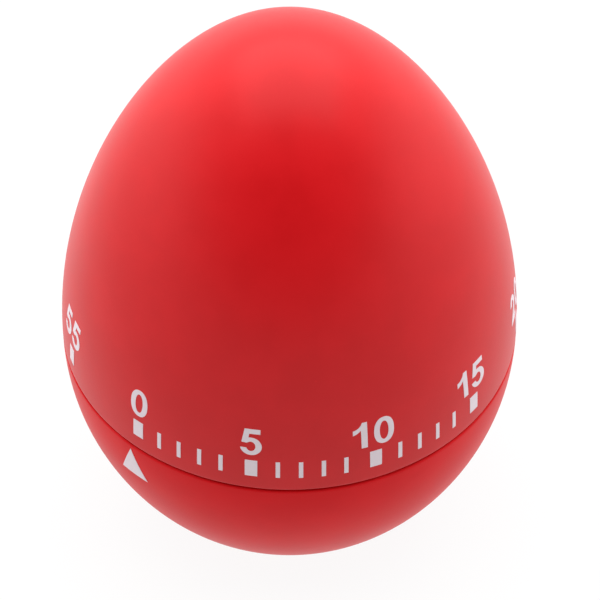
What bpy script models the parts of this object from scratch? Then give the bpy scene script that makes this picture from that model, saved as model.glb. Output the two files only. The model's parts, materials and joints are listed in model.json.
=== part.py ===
"""Wind-up kitchen timer in the shape of an egg.

The dome turns on the lower shell and winds a flat spiral mainspring. A three-stage gear train, a pin-pallet
escapement and a balance let it run back to zero in an hour. Until then a cam holds the hammer off the bell,
and its notch lets the hammer drop.
Frame: +Z up, origin at the centre of the flat foot, pointer on the lower shell facing -Y.
"""

import math

import bmesh
import bpy
from mathutils import Vector

MM = 0.001
WELD_DISTANCE = 0.001 * MM

# ---- Egg ----
EGG_RADIUS = 30.0 * MM
EGG_HEIGHT = 75.5 * MM
EQUATOR_Z = 27.2 * MM
LOWER_SEMI_AXIS = 34.0 * MM
UPPER_TAPER = 0.131
LOWER_TAPER = 0.047
SEAM_Z = 28.2 * MM
SEAM_GAP = 0.8 * MM
WALL = 1.8 * MM
RIM_CHAMFER = 0.3 * MM

# ---- Clearances ----
SEAT_GAP = 0.1 * MM
PRESS_GAP = 0.05 * MM
RUNNING_GAP = 0.08 * MM
CASE_GAP = 0.3 * MM

# ---- Lower shell ----
FOOT_RECESS = 0.6 * MM
FOOT_RIM = 4.4 * MM
FLOOR = 1.8 * MM
SPIGOT_WALL = 1.6 * MM
SPIGOT_STEP = 2.3 * MM
SPIGOT_HEIGHT = 3.0 * MM
SPIGOT_ROOT = 2.0 * MM
CASE_SCREW_CIRCLE = 9.5 * MM
CASE_BOSS_RADIUS = 3.2 * MM
CASE_BOSS_HEIGHT = 6.3 * MM
SOUND_SLOT_INNER = 4.5 * MM
SOUND_SLOT_LENGTH = 6.0 * MM
SOUND_SLOT_WIDTH = 1.4 * MM
SOUND_SLOT_SPREAD = math.radians(17)

# ---- Screws: (shank radius, head radius, head height) ----
CASE_SCREW = (0.9 * MM, 1.9 * MM, 1.4 * MM)
PLATE_SCREW = (0.6 * MM, 1.3 * MM, 0.9 * MM)
CARRIER_SCREW = (0.9 * MM, 1.8 * MM, 1.3 * MM)
CARRIER_SCREW_GRIP = 5.0 * MM
PLATE_SCREW_LENGTH = 3.6 * MM
HOUSING_SCREW_HEAD = 1.0 * MM
SLOT_WIDTH = 0.45 * MM
SLOT_DEPTH = 0.5 * MM
SLOT_TURN = 0.5
HEAD_TOP_SHARE = 0.8
HEAD_EDGE_SHARE = 0.35
TIP_SHARE = 0.4

# ---- Movement frame ----
PLATE_THICKNESS = 1.0 * MM
PLATE_SPACING = 10.0 * MM
PLATE_RADIUS = 21.5 * MM
MOVEMENT_CLEARANCE = 1.0 * MM
PILLAR_RADIUS = 1.5 * MM
PILLAR_SPIGOT_RADIUS = 0.9 * MM
PILLAR_BORE_DEPTH = 4.0 * MM
PILLAR_CIRCLE = 19.4 * MM
SECOND_PILLAR_ANGLE = math.radians(225)
THIRD_PILLAR_ANGLE = math.radians(345)
CASE_SCREW_ANGLES = [math.radians(a) for a in (30, 150, 270)]

# ---- Gear train: (wheel teeth, module, wheel thickness); every pinion has the same leaves ----
PINION_LEAVES = 8
MAIN_TEETH, MAIN_MODULE = 64, 0.38 * MM
SECOND_TEETH, SECOND_MODULE = 56, 0.30 * MM
THIRD_TEETH, THIRD_MODULE = 48, 0.30 * MM
ESCAPE_TEETH = 20
ESCAPE_TIP_RADIUS = 4.6 * MM
ESCAPE_ROOT_RADIUS = 3.5 * MM
WHEEL_THICKNESS = 0.8 * MM
SECOND_ANGLE = math.radians(180)
ARBOR_CLEARANCE = 0.8 * MM
PINION_OVERLAP = 0.3 * MM
SHAFT_RADIUS = 0.65 * MM
PIVOT_RADIUS = 0.4 * MM
COLLAR_RADIUS = 1.1 * MM
WHEEL_COLLAR = 0.6 * MM

# ---- Tooth shapes from root to tip: (height over the pitch circle, half the width), both in modules ----
WHEEL_TOOTH = [(-1.25, 0.70), (0.0, 0.72), (1.05, 0.36)]
PINION_LEAF = [(-1.35, 0.35), (0.0, 0.50), (0.50, 0.22)]

# ---- Escapement and balance ----
PALLET_DISTANCE = 6.0 * MM
ESCAPE_TOOTH_ROOT = 0.30 * MM
ESCAPE_TOOTH_TIP = 0.05 * MM
PIN_RADIUS = 0.18 * MM
PIN_CLEARANCE = 0.08 * MM
PIN_PITCHES = 3.5
LEVER_THICKNESS = 0.5 * MM
LEVER_HUB = 1.7 * MM
LEVER_HALF_WIDTH = 0.42 * MM
LEVER_ROOT_TURN = 0.25
BALANCE_RADIUS = 4.6 * MM
BALANCE_RIM = 0.9 * MM
BALANCE_HUB = 1.5 * MM
BALANCE_SPOKES = 3
BALANCE_SPOKE_HALF = 0.45 * MM

# ---- Levels above the lower plate's top face ----
SECOND_WHEEL_LEVEL = 0.8 * MM
ESCAPE_WHEEL_LEVEL = 2.4 * MM
STRIKE_CAM_LEVEL = 3.3 * MM
THIRD_WHEEL_LEVEL = 4.5 * MM
BALANCE_LEVEL = 5.8 * MM
MAIN_WHEEL_LEVEL = 7.0 * MM

# ---- Main arbor ----
ARBOR_RADIUS = 2.0 * MM
ARBOR_PIVOT_RADIUS = 1.2 * MM
ARBOR_FLANGE_RADIUS = 3.0 * MM
ARBOR_FLANGE = 0.6 * MM
ARBOR_FLAT = 0.7 * MM
CLIP_THICKNESS = 0.5 * MM
CLIP_WIDTH = 1.3 * MM
CLIP_OPENING = math.radians(25)
RATCHET_TEETH = 16
RATCHET_RADIUS = 5.0 * MM
RATCHET_DEPTH = 0.7 * MM
RATCHET_THICKNESS = 1.0 * MM
STRIKE_CAM_RADIUS = 6.0 * MM
STRIKE_NOTCH_DEPTH = 1.8 * MM
STRIKE_CAM_THICKNESS = 1.0 * MM

# ---- Click, riveted on the main wheel ----
CLICK_CIRCLE = 8.6 * MM
CLICK_ANGLE = math.radians(-70)
CLICK_TIP_ANGLE = math.radians(-105)
CLICK_THICKNESS = 0.7 * MM
CLICK_EYE = 1.2 * MM
CLICK_RIVET_RADIUS = 0.5 * MM
CLICK_RIVET_HEAD = 0.9 * MM
CLICK_RIVET_HEAD_HEIGHT = 0.3 * MM
CLICK_SPRING_RADIUS = 0.18 * MM
CLICK_SPRING_START = math.radians(-76)
CLICK_SPRING_END = math.radians(-27)
CLICK_SPRING_FOOT = math.radians(-20)

# ---- Mainspring and its housing, on the upper plate ----
HOUSING_RADIUS = 11.0 * MM
HOUSING_WALL = 0.8 * MM
HOUSING_HEIGHT = 6.8 * MM
HOUSING_NECK_RADIUS = 3.2 * MM
HOUSING_NECK_HEIGHT = 2.6 * MM
HOUSING_FLANGE = 2.6 * MM
HOUSING_SCREW_ANGLES = [math.radians(a) for a in (60, 240)]
SPRING_HEIGHT = 5.0 * MM
SPRING_STRIP = 0.3 * MM
SPRING_TURNS = 6

# ---- Bell and hammer ----
BELL_RADIUS = 16.4 * MM
BELL_WALL = 0.8 * MM
BELL_DROP = 5.0 * MM
BELL_CORNER = 3.5 * MM
BELL_BEND_STEPS = 4
NUT_RADIUS = 4.6 * MM
NUT_HEIGHT = 1.2 * MM
NUT_SIDES = 6
HAMMER_ANGLE = math.radians(-35)
HAMMER_CIRCLE = 17.8 * MM
STRIKER_ANGLE = math.radians(-80)
STRIKER_RADIUS = 1.6 * MM
STRIKER_HEIGHT = 2.4 * MM
STRIKER_GAP = 1.25 * MM
STRIKER_CROWN_SHARE = 0.75
HAMMER_ARM_WIDTH = 1.6 * MM
HAMMER_ARM_THICKNESS = 0.8 * MM
HAMMER_ARM_RISE = 1.4 * MM
HAMMER_EYE = 2.0 * MM
HAMMER_EYE_OPENING = 0.7
HAMMER_SPRING_WIRE = 0.15 * MM
HAMMER_SPRING_RADIUS = 1.2 * MM
HAMMER_SPRING_LEG = 3.5 * MM
HAMMER_SPRING_STEPS = 18
STRIKER_STUD = 0.5 * MM
HAMMER_TAIL_GAP = 0.15 * MM
HAMMER_TAIL_WIDTH = 1.4 * MM
HAMMER_NIB_LENGTH = 1.8 * MM
HAMMER_NIB_WIDTH = 1.0 * MM

# ---- Dial carrier inside the dome ----
CARRIER_CLEARANCE = 0.9 * MM
CARRIER_WEB = 1.5 * MM
CARRIER_HUB_RADIUS = 4.5 * MM
CARRIER_HUB_DROP = 1.6 * MM
CARRIER_HUB_RISE = 2.2 * MM
CARRIER_RIB_RADIUS = 19.6 * MM
CARRIER_RIB_WIDTH = 1.4 * MM
CARRIER_RIB_DROP = 1.4 * MM
DOME_BOSS_RADIUS = 2.4 * MM
DOME_BOSS_HEIGHT = 9.0 * MM
DOME_BOSS_INSET = 1.8 * MM
CARRIER_SCREW_ANGLES = [math.radians(a) for a in (90, 210, 330)]

# ---- Dial stop ----
DIAL_RANGE = math.radians(342)
STOP_PIN_RADIUS = 0.8 * MM
STOP_FLANGE_RADIUS = 1.28 * MM
STOP_CIRCLE = 18.6 * MM
STOP_ANGLE = math.radians(200)
STOP_LAP = 0.8 * MM
STOP_CLEARANCE = 0.15 * MM

# ---- Facets ----
SHELL_FACETS = 36
UPPER_STEPS = 11
LOWER_STEPS = 8
ROUND_FACETS = 20
SMALL_FACETS = 12
COIL_FACETS = 16
PIN_FACETS = 8
ARC_STEPS = 6
EYE_STEPS = 8
TAB_STEPS = 3
SEARCH_STEPS = 24
SHARP_ANGLE = math.radians(35)

# ---- Heights that follow from the values above ----
UPPER_SEMI_AXIS = EGG_HEIGHT - EQUATOR_Z
LOWER_RIM_Z = SEAM_Z - SEAM_GAP / 2
UPPER_RIM_Z = SEAM_Z + SEAM_GAP / 2
FLOOR_Z = FOOT_RECESS + FLOOR


def spaced(start, end, steps):
    return [start + (end - start) * i / steps for i in range(steps + 1)]


# ---- Egg outline ----
def egg_point(angle, semi_axis, taper):
    """Point of the outline and its outward normal, both as (radius, z)."""
    sine, cosine = math.sin(angle), math.cos(angle)
    radius = EGG_RADIUS * cosine * (1 - taper * sine**2)
    z = EQUATOR_Z + semi_axis * sine
    slope = EGG_RADIUS * (-sine * (1 - taper * sine**2) - 2 * taper * sine * cosine**2)
    normal = Vector((semi_axis * cosine, -slope)) * math.copysign(1, semi_axis)
    return Vector((radius, z)), normal.normalized()


def lower_point(angle):
    """The lower half, from the equator (0) towards the foot."""
    return egg_point(angle, -LOWER_SEMI_AXIS, LOWER_TAPER)


def upper_point(angle):
    """The upper half, from the equator (0) to the tip (pi/2)."""
    return egg_point(angle, UPPER_SEMI_AXIS, UPPER_TAPER)


def angle_at(z):
    """The outline's angle at a height, and whether it is on the upper half."""
    upper = z >= EQUATOR_Z
    semi_axis = UPPER_SEMI_AXIS if upper else LOWER_SEMI_AXIS
    return math.asin(abs(z - EQUATOR_Z) / semi_axis), upper


def outer_radius(z):
    angle, upper = angle_at(z)
    return (upper_point if upper else lower_point)(angle)[0].x


def inner_radius(z):
    """Radius of the wall's inner face at a height, found by stepping along the offset outline."""
    angle, upper = angle_at(z)
    outline, semi_axis = (upper_point, UPPER_SEMI_AXIS) if upper else (lower_point, -LOWER_SEMI_AXIS)
    for _ in range(SEARCH_STEPS):
        point, normal = outline(angle)
        inner = point - normal * WALL
        angle += (z - inner.y) / semi_axis
    return inner.x


def height_for(reach):
    """Lowest height inside the lower shell at which a disc of this radius clears the wall."""
    low, high = FLOOR_Z, EQUATOR_Z
    for _ in range(SEARCH_STEPS):
        middle = (low + high) / 2
        wide_enough = inner_radius(middle) > reach + MOVEMENT_CLEARANCE
        low, high = (low, middle) if wide_enough else (middle, high)
    return high


# ---- Places of the arbors in the plan ----
def polar(radius, angle, centre=(0.0, 0.0)):
    return (centre[0] + radius * math.cos(angle), centre[1] + radius * math.sin(angle))


def direction(start, end):
    return math.atan2(end[1] - start[1], end[0] - start[0])


def gear_distance(module, teeth):
    """Distance between the centres of a wheel and the pinion that it drives."""
    return module * (teeth + PINION_LEAVES) / 2


def wheel_radius(module, teeth):
    """Radius of a wheel over the tips of its teeth."""
    return module * (teeth / 2 + WHEEL_TOOTH[-1][0])


def swing_past(place_before, distance, radius):
    """The next place clockwise round the main arbor: at a distance from the one before and at a radius."""
    before = math.hypot(*place_before)
    step = math.acos((before**2 + radius**2 - distance**2) / (2 * before * radius))
    return polar(radius, math.atan2(place_before[1], place_before[0]) - step)


# The arbors after the second stand round the main wheel, just clear of its teeth.
RING_RADIUS = wheel_radius(MAIN_MODULE, MAIN_TEETH) + SHAFT_RADIUS + ARBOR_CLEARANCE
SECOND_AT = polar(gear_distance(MAIN_MODULE, MAIN_TEETH), SECOND_ANGLE)
THIRD_AT = swing_past(SECOND_AT, gear_distance(SECOND_MODULE, SECOND_TEETH), RING_RADIUS)
ESCAPE_AT = swing_past(THIRD_AT, gear_distance(THIRD_MODULE, THIRD_TEETH), RING_RADIUS)
BALANCE_AT = swing_past(ESCAPE_AT, PALLET_DISTANCE, RING_RADIUS)
PALLET_LINE = direction(ESCAPE_AT, BALANCE_AT)
FIRST_PILLAR_AT = swing_past(BALANCE_AT, BALANCE_RADIUS + PILLAR_RADIUS + ARBOR_CLEARANCE, PILLAR_CIRCLE)
PILLARS_AT = [
    FIRST_PILLAR_AT,
    polar(PILLAR_CIRCLE, SECOND_PILLAR_ANGLE),
    polar(PILLAR_CIRCLE, THIRD_PILLAR_ANGLE),
]
CASE_SCREWS_AT = [polar(CASE_SCREW_CIRCLE, a) for a in CASE_SCREW_ANGLES]
HOUSING_SCREWS_AT = [polar(HOUSING_RADIUS + HOUSING_FLANGE / 2, a) for a in HOUSING_SCREW_ANGLES]
CLICK_AT = polar(CLICK_CIRCLE, CLICK_ANGLE)
HAMMER_AT = polar(HAMMER_CIRCLE, HAMMER_ANGLE)
STRIKER_AT = polar(BELL_RADIUS + STRIKER_GAP + STRIKER_RADIUS, STRIKER_ANGLE)
TAIL_LINE_RADIUS = STRIKE_CAM_RADIUS + HAMMER_TAIL_GAP + HAMMER_NIB_LENGTH + HAMMER_TAIL_WIDTH / 2
NIB_ANGLE = HAMMER_ANGLE - math.acos(TAIL_LINE_RADIUS / HAMMER_CIRCLE)

# ---- Levels: the movement stands on its bosses, or higher where its plates or second wheel need room ----
SECOND_WHEEL_REACH = math.hypot(*SECOND_AT) + wheel_radius(SECOND_MODULE, SECOND_TEETH)
LOWER_PLATE_Z = max(
    FLOOR_Z + CASE_BOSS_HEIGHT + CASE_GAP,
    height_for(PLATE_RADIUS),
    height_for(SECOND_WHEEL_REACH) - PLATE_THICKNESS - SECOND_WHEEL_LEVEL,
)
LOWER_PLATE_TOP = LOWER_PLATE_Z + PLATE_THICKNESS
SECOND_WHEEL_Z = LOWER_PLATE_TOP + SECOND_WHEEL_LEVEL
ESCAPE_WHEEL_Z = LOWER_PLATE_TOP + ESCAPE_WHEEL_LEVEL
STRIKE_CAM_Z = LOWER_PLATE_TOP + STRIKE_CAM_LEVEL
THIRD_WHEEL_Z = LOWER_PLATE_TOP + THIRD_WHEEL_LEVEL
BALANCE_Z = LOWER_PLATE_TOP + BALANCE_LEVEL
MAIN_WHEEL_Z = LOWER_PLATE_TOP + MAIN_WHEEL_LEVEL
RATCHET_Z = MAIN_WHEEL_Z + WHEEL_THICKNESS + SEAT_GAP
UPPER_PLATE_Z = LOWER_PLATE_TOP + PLATE_SPACING
UPPER_PLATE_TOP = UPPER_PLATE_Z + PLATE_THICKNESS
HAMMER_ARM_Z = UPPER_PLATE_TOP + HAMMER_ARM_RISE
STRIKER_Z = HAMMER_ARM_Z + HAMMER_ARM_THICKNESS + SEAT_GAP
HOUSING_Z = UPPER_PLATE_TOP + SEAT_GAP
HOUSING_TOP = HOUSING_Z + HOUSING_HEIGHT
BELL_TOP = HOUSING_TOP + SEAT_GAP + BELL_WALL
NUT_Z = BELL_TOP + SEAT_GAP
NECK_TOP = HOUSING_TOP + HOUSING_NECK_HEIGHT
CARRIER_Z = max(NECK_TOP, NUT_Z + NUT_HEIGHT) + CARRIER_CLEARANCE + CARRIER_HUB_DROP
CARRIER_TOP = CARRIER_Z + CARRIER_WEB

# ---- Widths that follow from the egg's outline ----
SPIGOT_RADIUS = outer_radius(LOWER_RIM_Z) - SPIGOT_STEP
SPIGOT_INNER = SPIGOT_RADIUS - SPIGOT_WALL
DOME_BOSS_Z = CARRIER_TOP + CASE_GAP
RIB_OUTER_RADIUS = CARRIER_RIB_RADIUS + CARRIER_RIB_WIDTH
DOME_BOSS_CIRCLE = max(
    inner_radius(DOME_BOSS_Z + DOME_BOSS_HEIGHT) - DOME_BOSS_INSET,
    RIB_OUTER_RADIUS + CARRIER_SCREW[1] + CASE_GAP,
)
CARRIER_SCREWS_AT = [polar(DOME_BOSS_CIRCLE, a) for a in CARRIER_SCREW_ANGLES]


# ---- Scene, materials and object helpers ----
def clear_scene():
    for obj in list(bpy.data.objects):
        bpy.data.objects.remove(obj, do_unlink=True)


def collection(name, hidden=False):
    made = bpy.data.collections.new(name)
    bpy.context.scene.collection.children.link(made)
    made.hide_render = hidden
    return made


def material(name, colour, roughness, metallic=0.0):
    made = bpy.data.materials.new(name)
    made.use_nodes = True
    shader = made.node_tree.nodes["Principled BSDF"]
    shader.inputs["Base Color"].default_value = (*colour, 1.0)
    shader.inputs["Roughness"].default_value = roughness
    shader.inputs["Metallic"].default_value = metallic
    return made


clear_scene()
TIMER = collection("egg_timer")
CUTTERS = collection("cutters", hidden=True)
RED_PLASTIC = material("red_soft_touch_plastic", (0.60, 0.012, 0.016), 0.5)
NATURAL_PLASTIC = material("natural_plastic", (0.80, 0.79, 0.74), 0.45)
ZINC_STEEL = material("zinc_plated_steel", (0.62, 0.63, 0.65), 0.35, 1.0)
SPRING_STEEL = material("blued_spring_steel", (0.16, 0.18, 0.24), 0.3, 1.0)
BRASS = material("brass", (0.78, 0.57, 0.22), 0.3, 1.0)
NICKEL = material("nickel_plated_steel", (0.75, 0.73, 0.69), 0.18, 1.0)


def place(obj, name, finish):
    """Names the object, gives it its material and puts it in the timer's collection."""
    obj.name = name
    obj.data.name = name
    obj.data.materials.clear()
    obj.data.materials.append(finish)
    for user in list(obj.users_collection):
        user.objects.unlink(obj)
    TIMER.objects.link(obj)
    return obj


def as_cutter(obj):
    for user in list(obj.users_collection):
        user.objects.unlink(obj)
    CUTTERS.objects.link(obj)
    obj.hide_render = True
    obj.display_type = "WIRE"
    return obj


def combine(obj, other, operation):
    """Adds a Boolean of obj with other, which becomes a hidden helper."""
    as_cutter(other)
    modifier = obj.modifiers.new(operation.lower(), "BOOLEAN")
    modifier.operation = operation
    modifier.solver = "EXACT"
    modifier.object = other
    return obj


def turned(profile, facets=ROUND_FACETS, at=(0.0, 0.0), phase=0.0):
    """A solid of revolution about Z. The profile of (radius, z) runs down its outer side."""
    mesh = bpy.data.meshes.new("turned")
    obj = bpy.data.objects.new("turned", mesh)
    bpy.context.scene.collection.objects.link(obj)
    on_axis = profile[0][0] == 0 and profile[-1][0] == 0
    count = len(profile)
    edges = [(i, (i + 1) % count) for i in range(count - on_axis)]
    mesh.from_pydata([(r, 0.0, z) for r, z in profile], edges, [])
    screw = obj.modifiers.new("turn", "SCREW")
    screw.steps = facets
    screw.render_steps = facets
    screw.use_merge_vertices = True
    screw.merge_threshold = WELD_DISTANCE
    screw.use_smooth_shade = False
    obj.location = (*at, 0.0)
    obj.rotation_euler = (0.0, 0.0, phase)
    return obj


def rod(radius, low, high, facets=SMALL_FACETS, at=(0.0, 0.0)):
    """An upright rod, with a flat and not a corner facing the Z axis."""
    turn = math.atan2(at[1], at[0]) + math.pi / facets
    bpy.ops.mesh.primitive_cylinder_add(
        vertices=facets,
        radius=radius,
        depth=high - low,
        location=(*at, (low + high) / 2),
        rotation=(0.0, 0.0, turn),
    )
    return bpy.context.object


def hole_rod(radius, low, high, at):
    """A cutter for a faceted hole that clears a rod of the radius."""
    return rod(radius / math.cos(math.pi / SMALL_FACETS), low, high, at=at)


def box(size, centre, angle=0.0):
    bpy.ops.mesh.primitive_cube_add(size=1.0, location=centre, rotation=(0.0, 0.0, angle))
    obj = bpy.context.object
    obj.scale = size
    return obj


def circle(radius, facets, at=(0.0, 0.0), phase=0.0):
    return [polar(radius, phase + 2 * math.pi * i / facets, at) for i in range(facets)]


def hole(radius, facets=SMALL_FACETS, at=(0.0, 0.0)):
    """A faceted hole whose flats, not corners, lie at the radius."""
    return circle(radius / math.cos(math.pi / facets), facets, at)


def flat(outlines, low, thickness, at=(0.0, 0.0)):
    """A flat piece from closed outlines: the first is its edge and the others are its holes."""
    curve = bpy.data.curves.new("flat", "CURVE")
    curve.dimensions = "2D"
    curve.fill_mode = "BOTH"
    curve.extrude = thickness / 2
    for outline in outlines:
        spline = curve.splines.new("POLY")
        spline.points.add(len(outline) - 1)
        for point, (x, y) in zip(spline.points, outline):
            point.co = (x, y, 0.0, 1.0)
        spline.use_cyclic_u = True
    obj = bpy.data.objects.new("flat", curve)
    bpy.context.scene.collection.objects.link(obj)
    obj.location = (*at, low + thickness / 2)
    return obj


def flat_mesh(outlines, low, thickness, at=(0.0, 0.0)):
    """The same as a mesh, with its caps welded, so that it can be joined or cut."""
    curve_object = flat(outlines, low, thickness, at)
    bpy.context.view_layer.update()
    graph = bpy.context.evaluated_depsgraph_get()
    mesh = bpy.data.meshes.new_from_object(curve_object.evaluated_get(graph))
    welding = bmesh.new()
    welding.from_mesh(mesh)
    bmesh.ops.remove_doubles(welding, verts=welding.verts, dist=WELD_DISTANCE)
    welding.to_mesh(mesh)
    welding.free()
    obj = bpy.data.objects.new("flat_mesh", mesh)
    bpy.context.scene.collection.objects.link(obj)
    obj.matrix_world = curve_object.matrix_world
    bpy.data.objects.remove(curve_object)
    return obj


def wire(points, radius, low):
    """A bent wire through (x, y, height above low) points."""
    curve = bpy.data.curves.new("wire", "CURVE")
    curve.dimensions = "3D"
    curve.bevel_depth = radius
    curve.bevel_resolution = 0
    curve.use_fill_caps = True
    spline = curve.splines.new("POLY")
    spline.points.add(len(points) - 1)
    for point, (x, y, z) in zip(spline.points, points):
        point.co = (x, y, z, 1.0)
    obj = bpy.data.objects.new("wire", curve)
    bpy.context.scene.collection.objects.link(obj)
    obj.location = (0.0, 0.0, low)
    return obj


# ---- Casing ----
def upper_shell():
    rim_angle, _ = angle_at(UPPER_RIM_Z + RIM_CHAMFER)
    angles = spaced(math.pi / 2, rim_angle, UPPER_STEPS)
    outer = [upper_point(a)[0] for a in angles]
    outer[0].x = 0.0
    inner = [p - n * WALL for p, n in map(upper_point, reversed(angles))]
    inner[-1].x = 0.0
    rim = [
        (outer_radius(UPPER_RIM_Z) - RIM_CHAMFER, UPPER_RIM_Z),
        (inner_radius(UPPER_RIM_Z), UPPER_RIM_Z),
    ]
    profile = [tuple(p) for p in outer] + rim + [tuple(p) for p in inner]
    shell = turned(profile, SHELL_FACETS)
    for at in CARRIER_SCREWS_AT:
        boss = rod(DOME_BOSS_RADIUS, DOME_BOSS_Z, DOME_BOSS_Z + DOME_BOSS_HEIGHT, at=at)
        combine(shell, boss, "UNION")
        pilot_end = DOME_BOSS_Z + CARRIER_SCREW_GRIP
        pilot = hole_rod(CARRIER_SCREW[0] + PRESS_GAP, DOME_BOSS_Z - WALL, pilot_end, at)
        combine(shell, pilot, "DIFFERENCE")
    return place(shell, "upper_shell", RED_PLASTIC)


def lower_shell():
    foot_angle, _ = angle_at(0.0)
    rim_angle, _ = angle_at(LOWER_RIM_Z - RIM_CHAMFER)
    crown = [(outer_radius(LOWER_RIM_Z) - RIM_CHAMFER, LOWER_RIM_Z), tuple(upper_point(rim_angle)[0])]
    outer = [tuple(lower_point(a)[0]) for a in spaced(0.0, foot_angle, LOWER_STEPS)]
    foot_radius = outer[-1][0]
    foot = [
        (foot_radius - FOOT_RIM, 0.0),
        (foot_radius - FOOT_RIM - FOOT_RECESS, FOOT_RECESS),
        (0.0, FOOT_RECESS),
    ]
    jog_z = LOWER_RIM_Z - SPIGOT_ROOT
    inner_heights = spaced(FLOOR_Z, jog_z - SPIGOT_ROOT, LOWER_STEPS)
    inner = [(0.0, FLOOR_Z)] + [(inner_radius(z), z) for z in inner_heights]
    spigot = [
        (SPIGOT_INNER, jog_z),
        (SPIGOT_INNER, LOWER_RIM_Z + SPIGOT_HEIGHT),
        (SPIGOT_RADIUS, LOWER_RIM_Z + SPIGOT_HEIGHT),
        (SPIGOT_RADIUS, LOWER_RIM_Z),
    ]
    shell = turned(inner + spigot + crown + outer + foot, SHELL_FACETS)
    shank, head, _ = CASE_SCREW
    ledge = FLOOR_Z + PRESS_GAP
    boss_top = LOWER_PLATE_Z - CASE_GAP
    for at in CASE_SCREWS_AT:
        combine(shell, rod(CASE_BOSS_RADIUS, FLOOR_Z - FLOOR / 2, boss_top, ROUND_FACETS, at), "UNION")
        combine(shell, hole_rod(head + CASE_GAP, -WALL, ledge, at), "DIFFERENCE")
        combine(shell, hole_rod(shank + CASE_GAP / 2, ledge - WALL, boss_top + WALL, at), "DIFFERENCE")
    for angle in CASE_SCREW_ANGLES:
        for side in (-1, 1):
            turn = angle + math.pi / 3 + side * SOUND_SLOT_SPREAD
            x, y = polar(SOUND_SLOT_INNER + SOUND_SLOT_LENGTH / 2, turn)
            slot = box((SOUND_SLOT_LENGTH, SOUND_SLOT_WIDTH, 3 * FLOOR_Z), (x, y, FLOOR_Z / 2), turn)
            combine(shell, slot, "DIFFERENCE")
    return place(shell, "lower_shell", RED_PLASTIC)


# ---- Fasteners ----
def screw(name, size, seat_z, length, at, head_up=True):
    """A slotted screw whose head sits on seat_z, its shank running away from the head."""
    shank, head, head_height = size
    away = -1 if head_up else 1
    top = seat_z - away * head_height
    tip = seat_z + away * length
    profile = [
        (0.0, top),
        (head * HEAD_TOP_SHARE, top),
        (head, top + away * head_height * HEAD_EDGE_SHARE),
        (head, seat_z),
        (shank, seat_z),
        (shank, tip - away * shank),
        (shank * TIP_SHARE, tip),
        (0.0, tip),
    ]
    body = turned(profile if head_up else profile[::-1], SMALL_FACETS, at)
    slot = box((3 * head, SLOT_WIDTH, 2 * SLOT_DEPTH), (*at, top), math.atan2(at[1], at[0]) + SLOT_TURN)
    return place(combine(body, slot, "DIFFERENCE"), name, ZINC_STEEL)


def case_screws():
    for number, at in enumerate(CASE_SCREWS_AT, 1):
        screw(f"case_screw_{number}", CASE_SCREW, FLOOR_Z, LOWER_PLATE_TOP - FLOOR_Z, at, head_up=False)


def pillars():
    """Turned pillars riveted in the lower plate and bored for a screw through the upper one."""
    bore = PLATE_SCREW[0] + PRESS_GAP
    low, high = LOWER_PLATE_TOP + SEAT_GAP, UPPER_PLATE_Z - SEAT_GAP
    profile = [
        (0.0, high - PILLAR_BORE_DEPTH),
        (bore, high - PILLAR_BORE_DEPTH),
        (bore, high),
        (PILLAR_RADIUS, high),
        (PILLAR_RADIUS, low),
        (PILLAR_SPIGOT_RADIUS, low),
        (PILLAR_SPIGOT_RADIUS, LOWER_PLATE_Z - SEAT_GAP),
        (0.0, LOWER_PLATE_Z - SEAT_GAP),
    ]
    inset = (PLATE_SCREW[0] - PRESS_GAP, *PLATE_SCREW[1:])
    for number, at in enumerate(PILLARS_AT, 1):
        place(turned(profile, SMALL_FACETS, at), f"pillar_{number}", ZINC_STEEL)
        screw(f"pillar_screw_{number}", inset, UPPER_PLATE_TOP + SEAT_GAP, PLATE_SCREW_LENGTH, at)


# ---- Movement frame ----
def pivot_hole(at, radius=PIVOT_RADIUS):
    return hole(radius + RUNNING_GAP, SMALL_FACETS, at)


def train_pivots():
    return [pivot_hole(at) for at in (SECOND_AT, THIRD_AT, ESCAPE_AT, BALANCE_AT)]


def lower_plate():
    outlines = [circle(PLATE_RADIUS, SHELL_FACETS), pivot_hole((0.0, 0.0), ARBOR_PIVOT_RADIUS)]
    outlines += [*train_pivots(), pivot_hole(HAMMER_AT)]
    outlines += [hole(PILLAR_SPIGOT_RADIUS + PRESS_GAP, at=at) for at in PILLARS_AT]
    outlines += [hole(CASE_SCREW[0] + PRESS_GAP, at=at) for at in CASE_SCREWS_AT]
    place(flat(outlines, LOWER_PLATE_Z, PLATE_THICKNESS), "lower_plate", ZINC_STEEL)


def upper_plate():
    outlines = [circle(PLATE_RADIUS, SHELL_FACETS), hole(ARBOR_RADIUS + RUNNING_GAP, ROUND_FACETS)]
    outlines += [*train_pivots(), pivot_hole(HAMMER_AT, SHAFT_RADIUS)]
    outlines += [hole(PLATE_SCREW[0] + PRESS_GAP, at=at) for at in PILLARS_AT + HOUSING_SCREWS_AT]
    outlines += [hole(STOP_PIN_RADIUS + PRESS_GAP, at=polar(STOP_CIRCLE, STOP_ANGLE))]
    place(flat(outlines, UPPER_PLATE_Z, PLATE_THICKNESS), "upper_plate", ZINC_STEEL)


def stop_pin():
    """Headed pin riveted through the upper plate, which the rib under the dial carrier meets."""
    at = polar(STOP_CIRCLE, STOP_ANGLE)
    seat = UPPER_PLATE_TOP + SEAT_GAP
    tip = CARRIER_Z - CARRIER_RIB_DROP + STOP_LAP
    profile = [
        (0.0, tip),
        (STOP_PIN_RADIUS, tip),
        (STOP_PIN_RADIUS, seat + PLATE_THICKNESS),
        (STOP_FLANGE_RADIUS, seat + PLATE_THICKNESS),
        (STOP_FLANGE_RADIUS, seat),
        (STOP_PIN_RADIUS, seat),
        (STOP_PIN_RADIUS, UPPER_PLATE_Z - SEAT_GAP),
        (0.0, UPPER_PLATE_Z - SEAT_GAP),
    ]
    place(turned(profile, SMALL_FACETS, at), "stop_pin", ZINC_STEEL)


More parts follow.
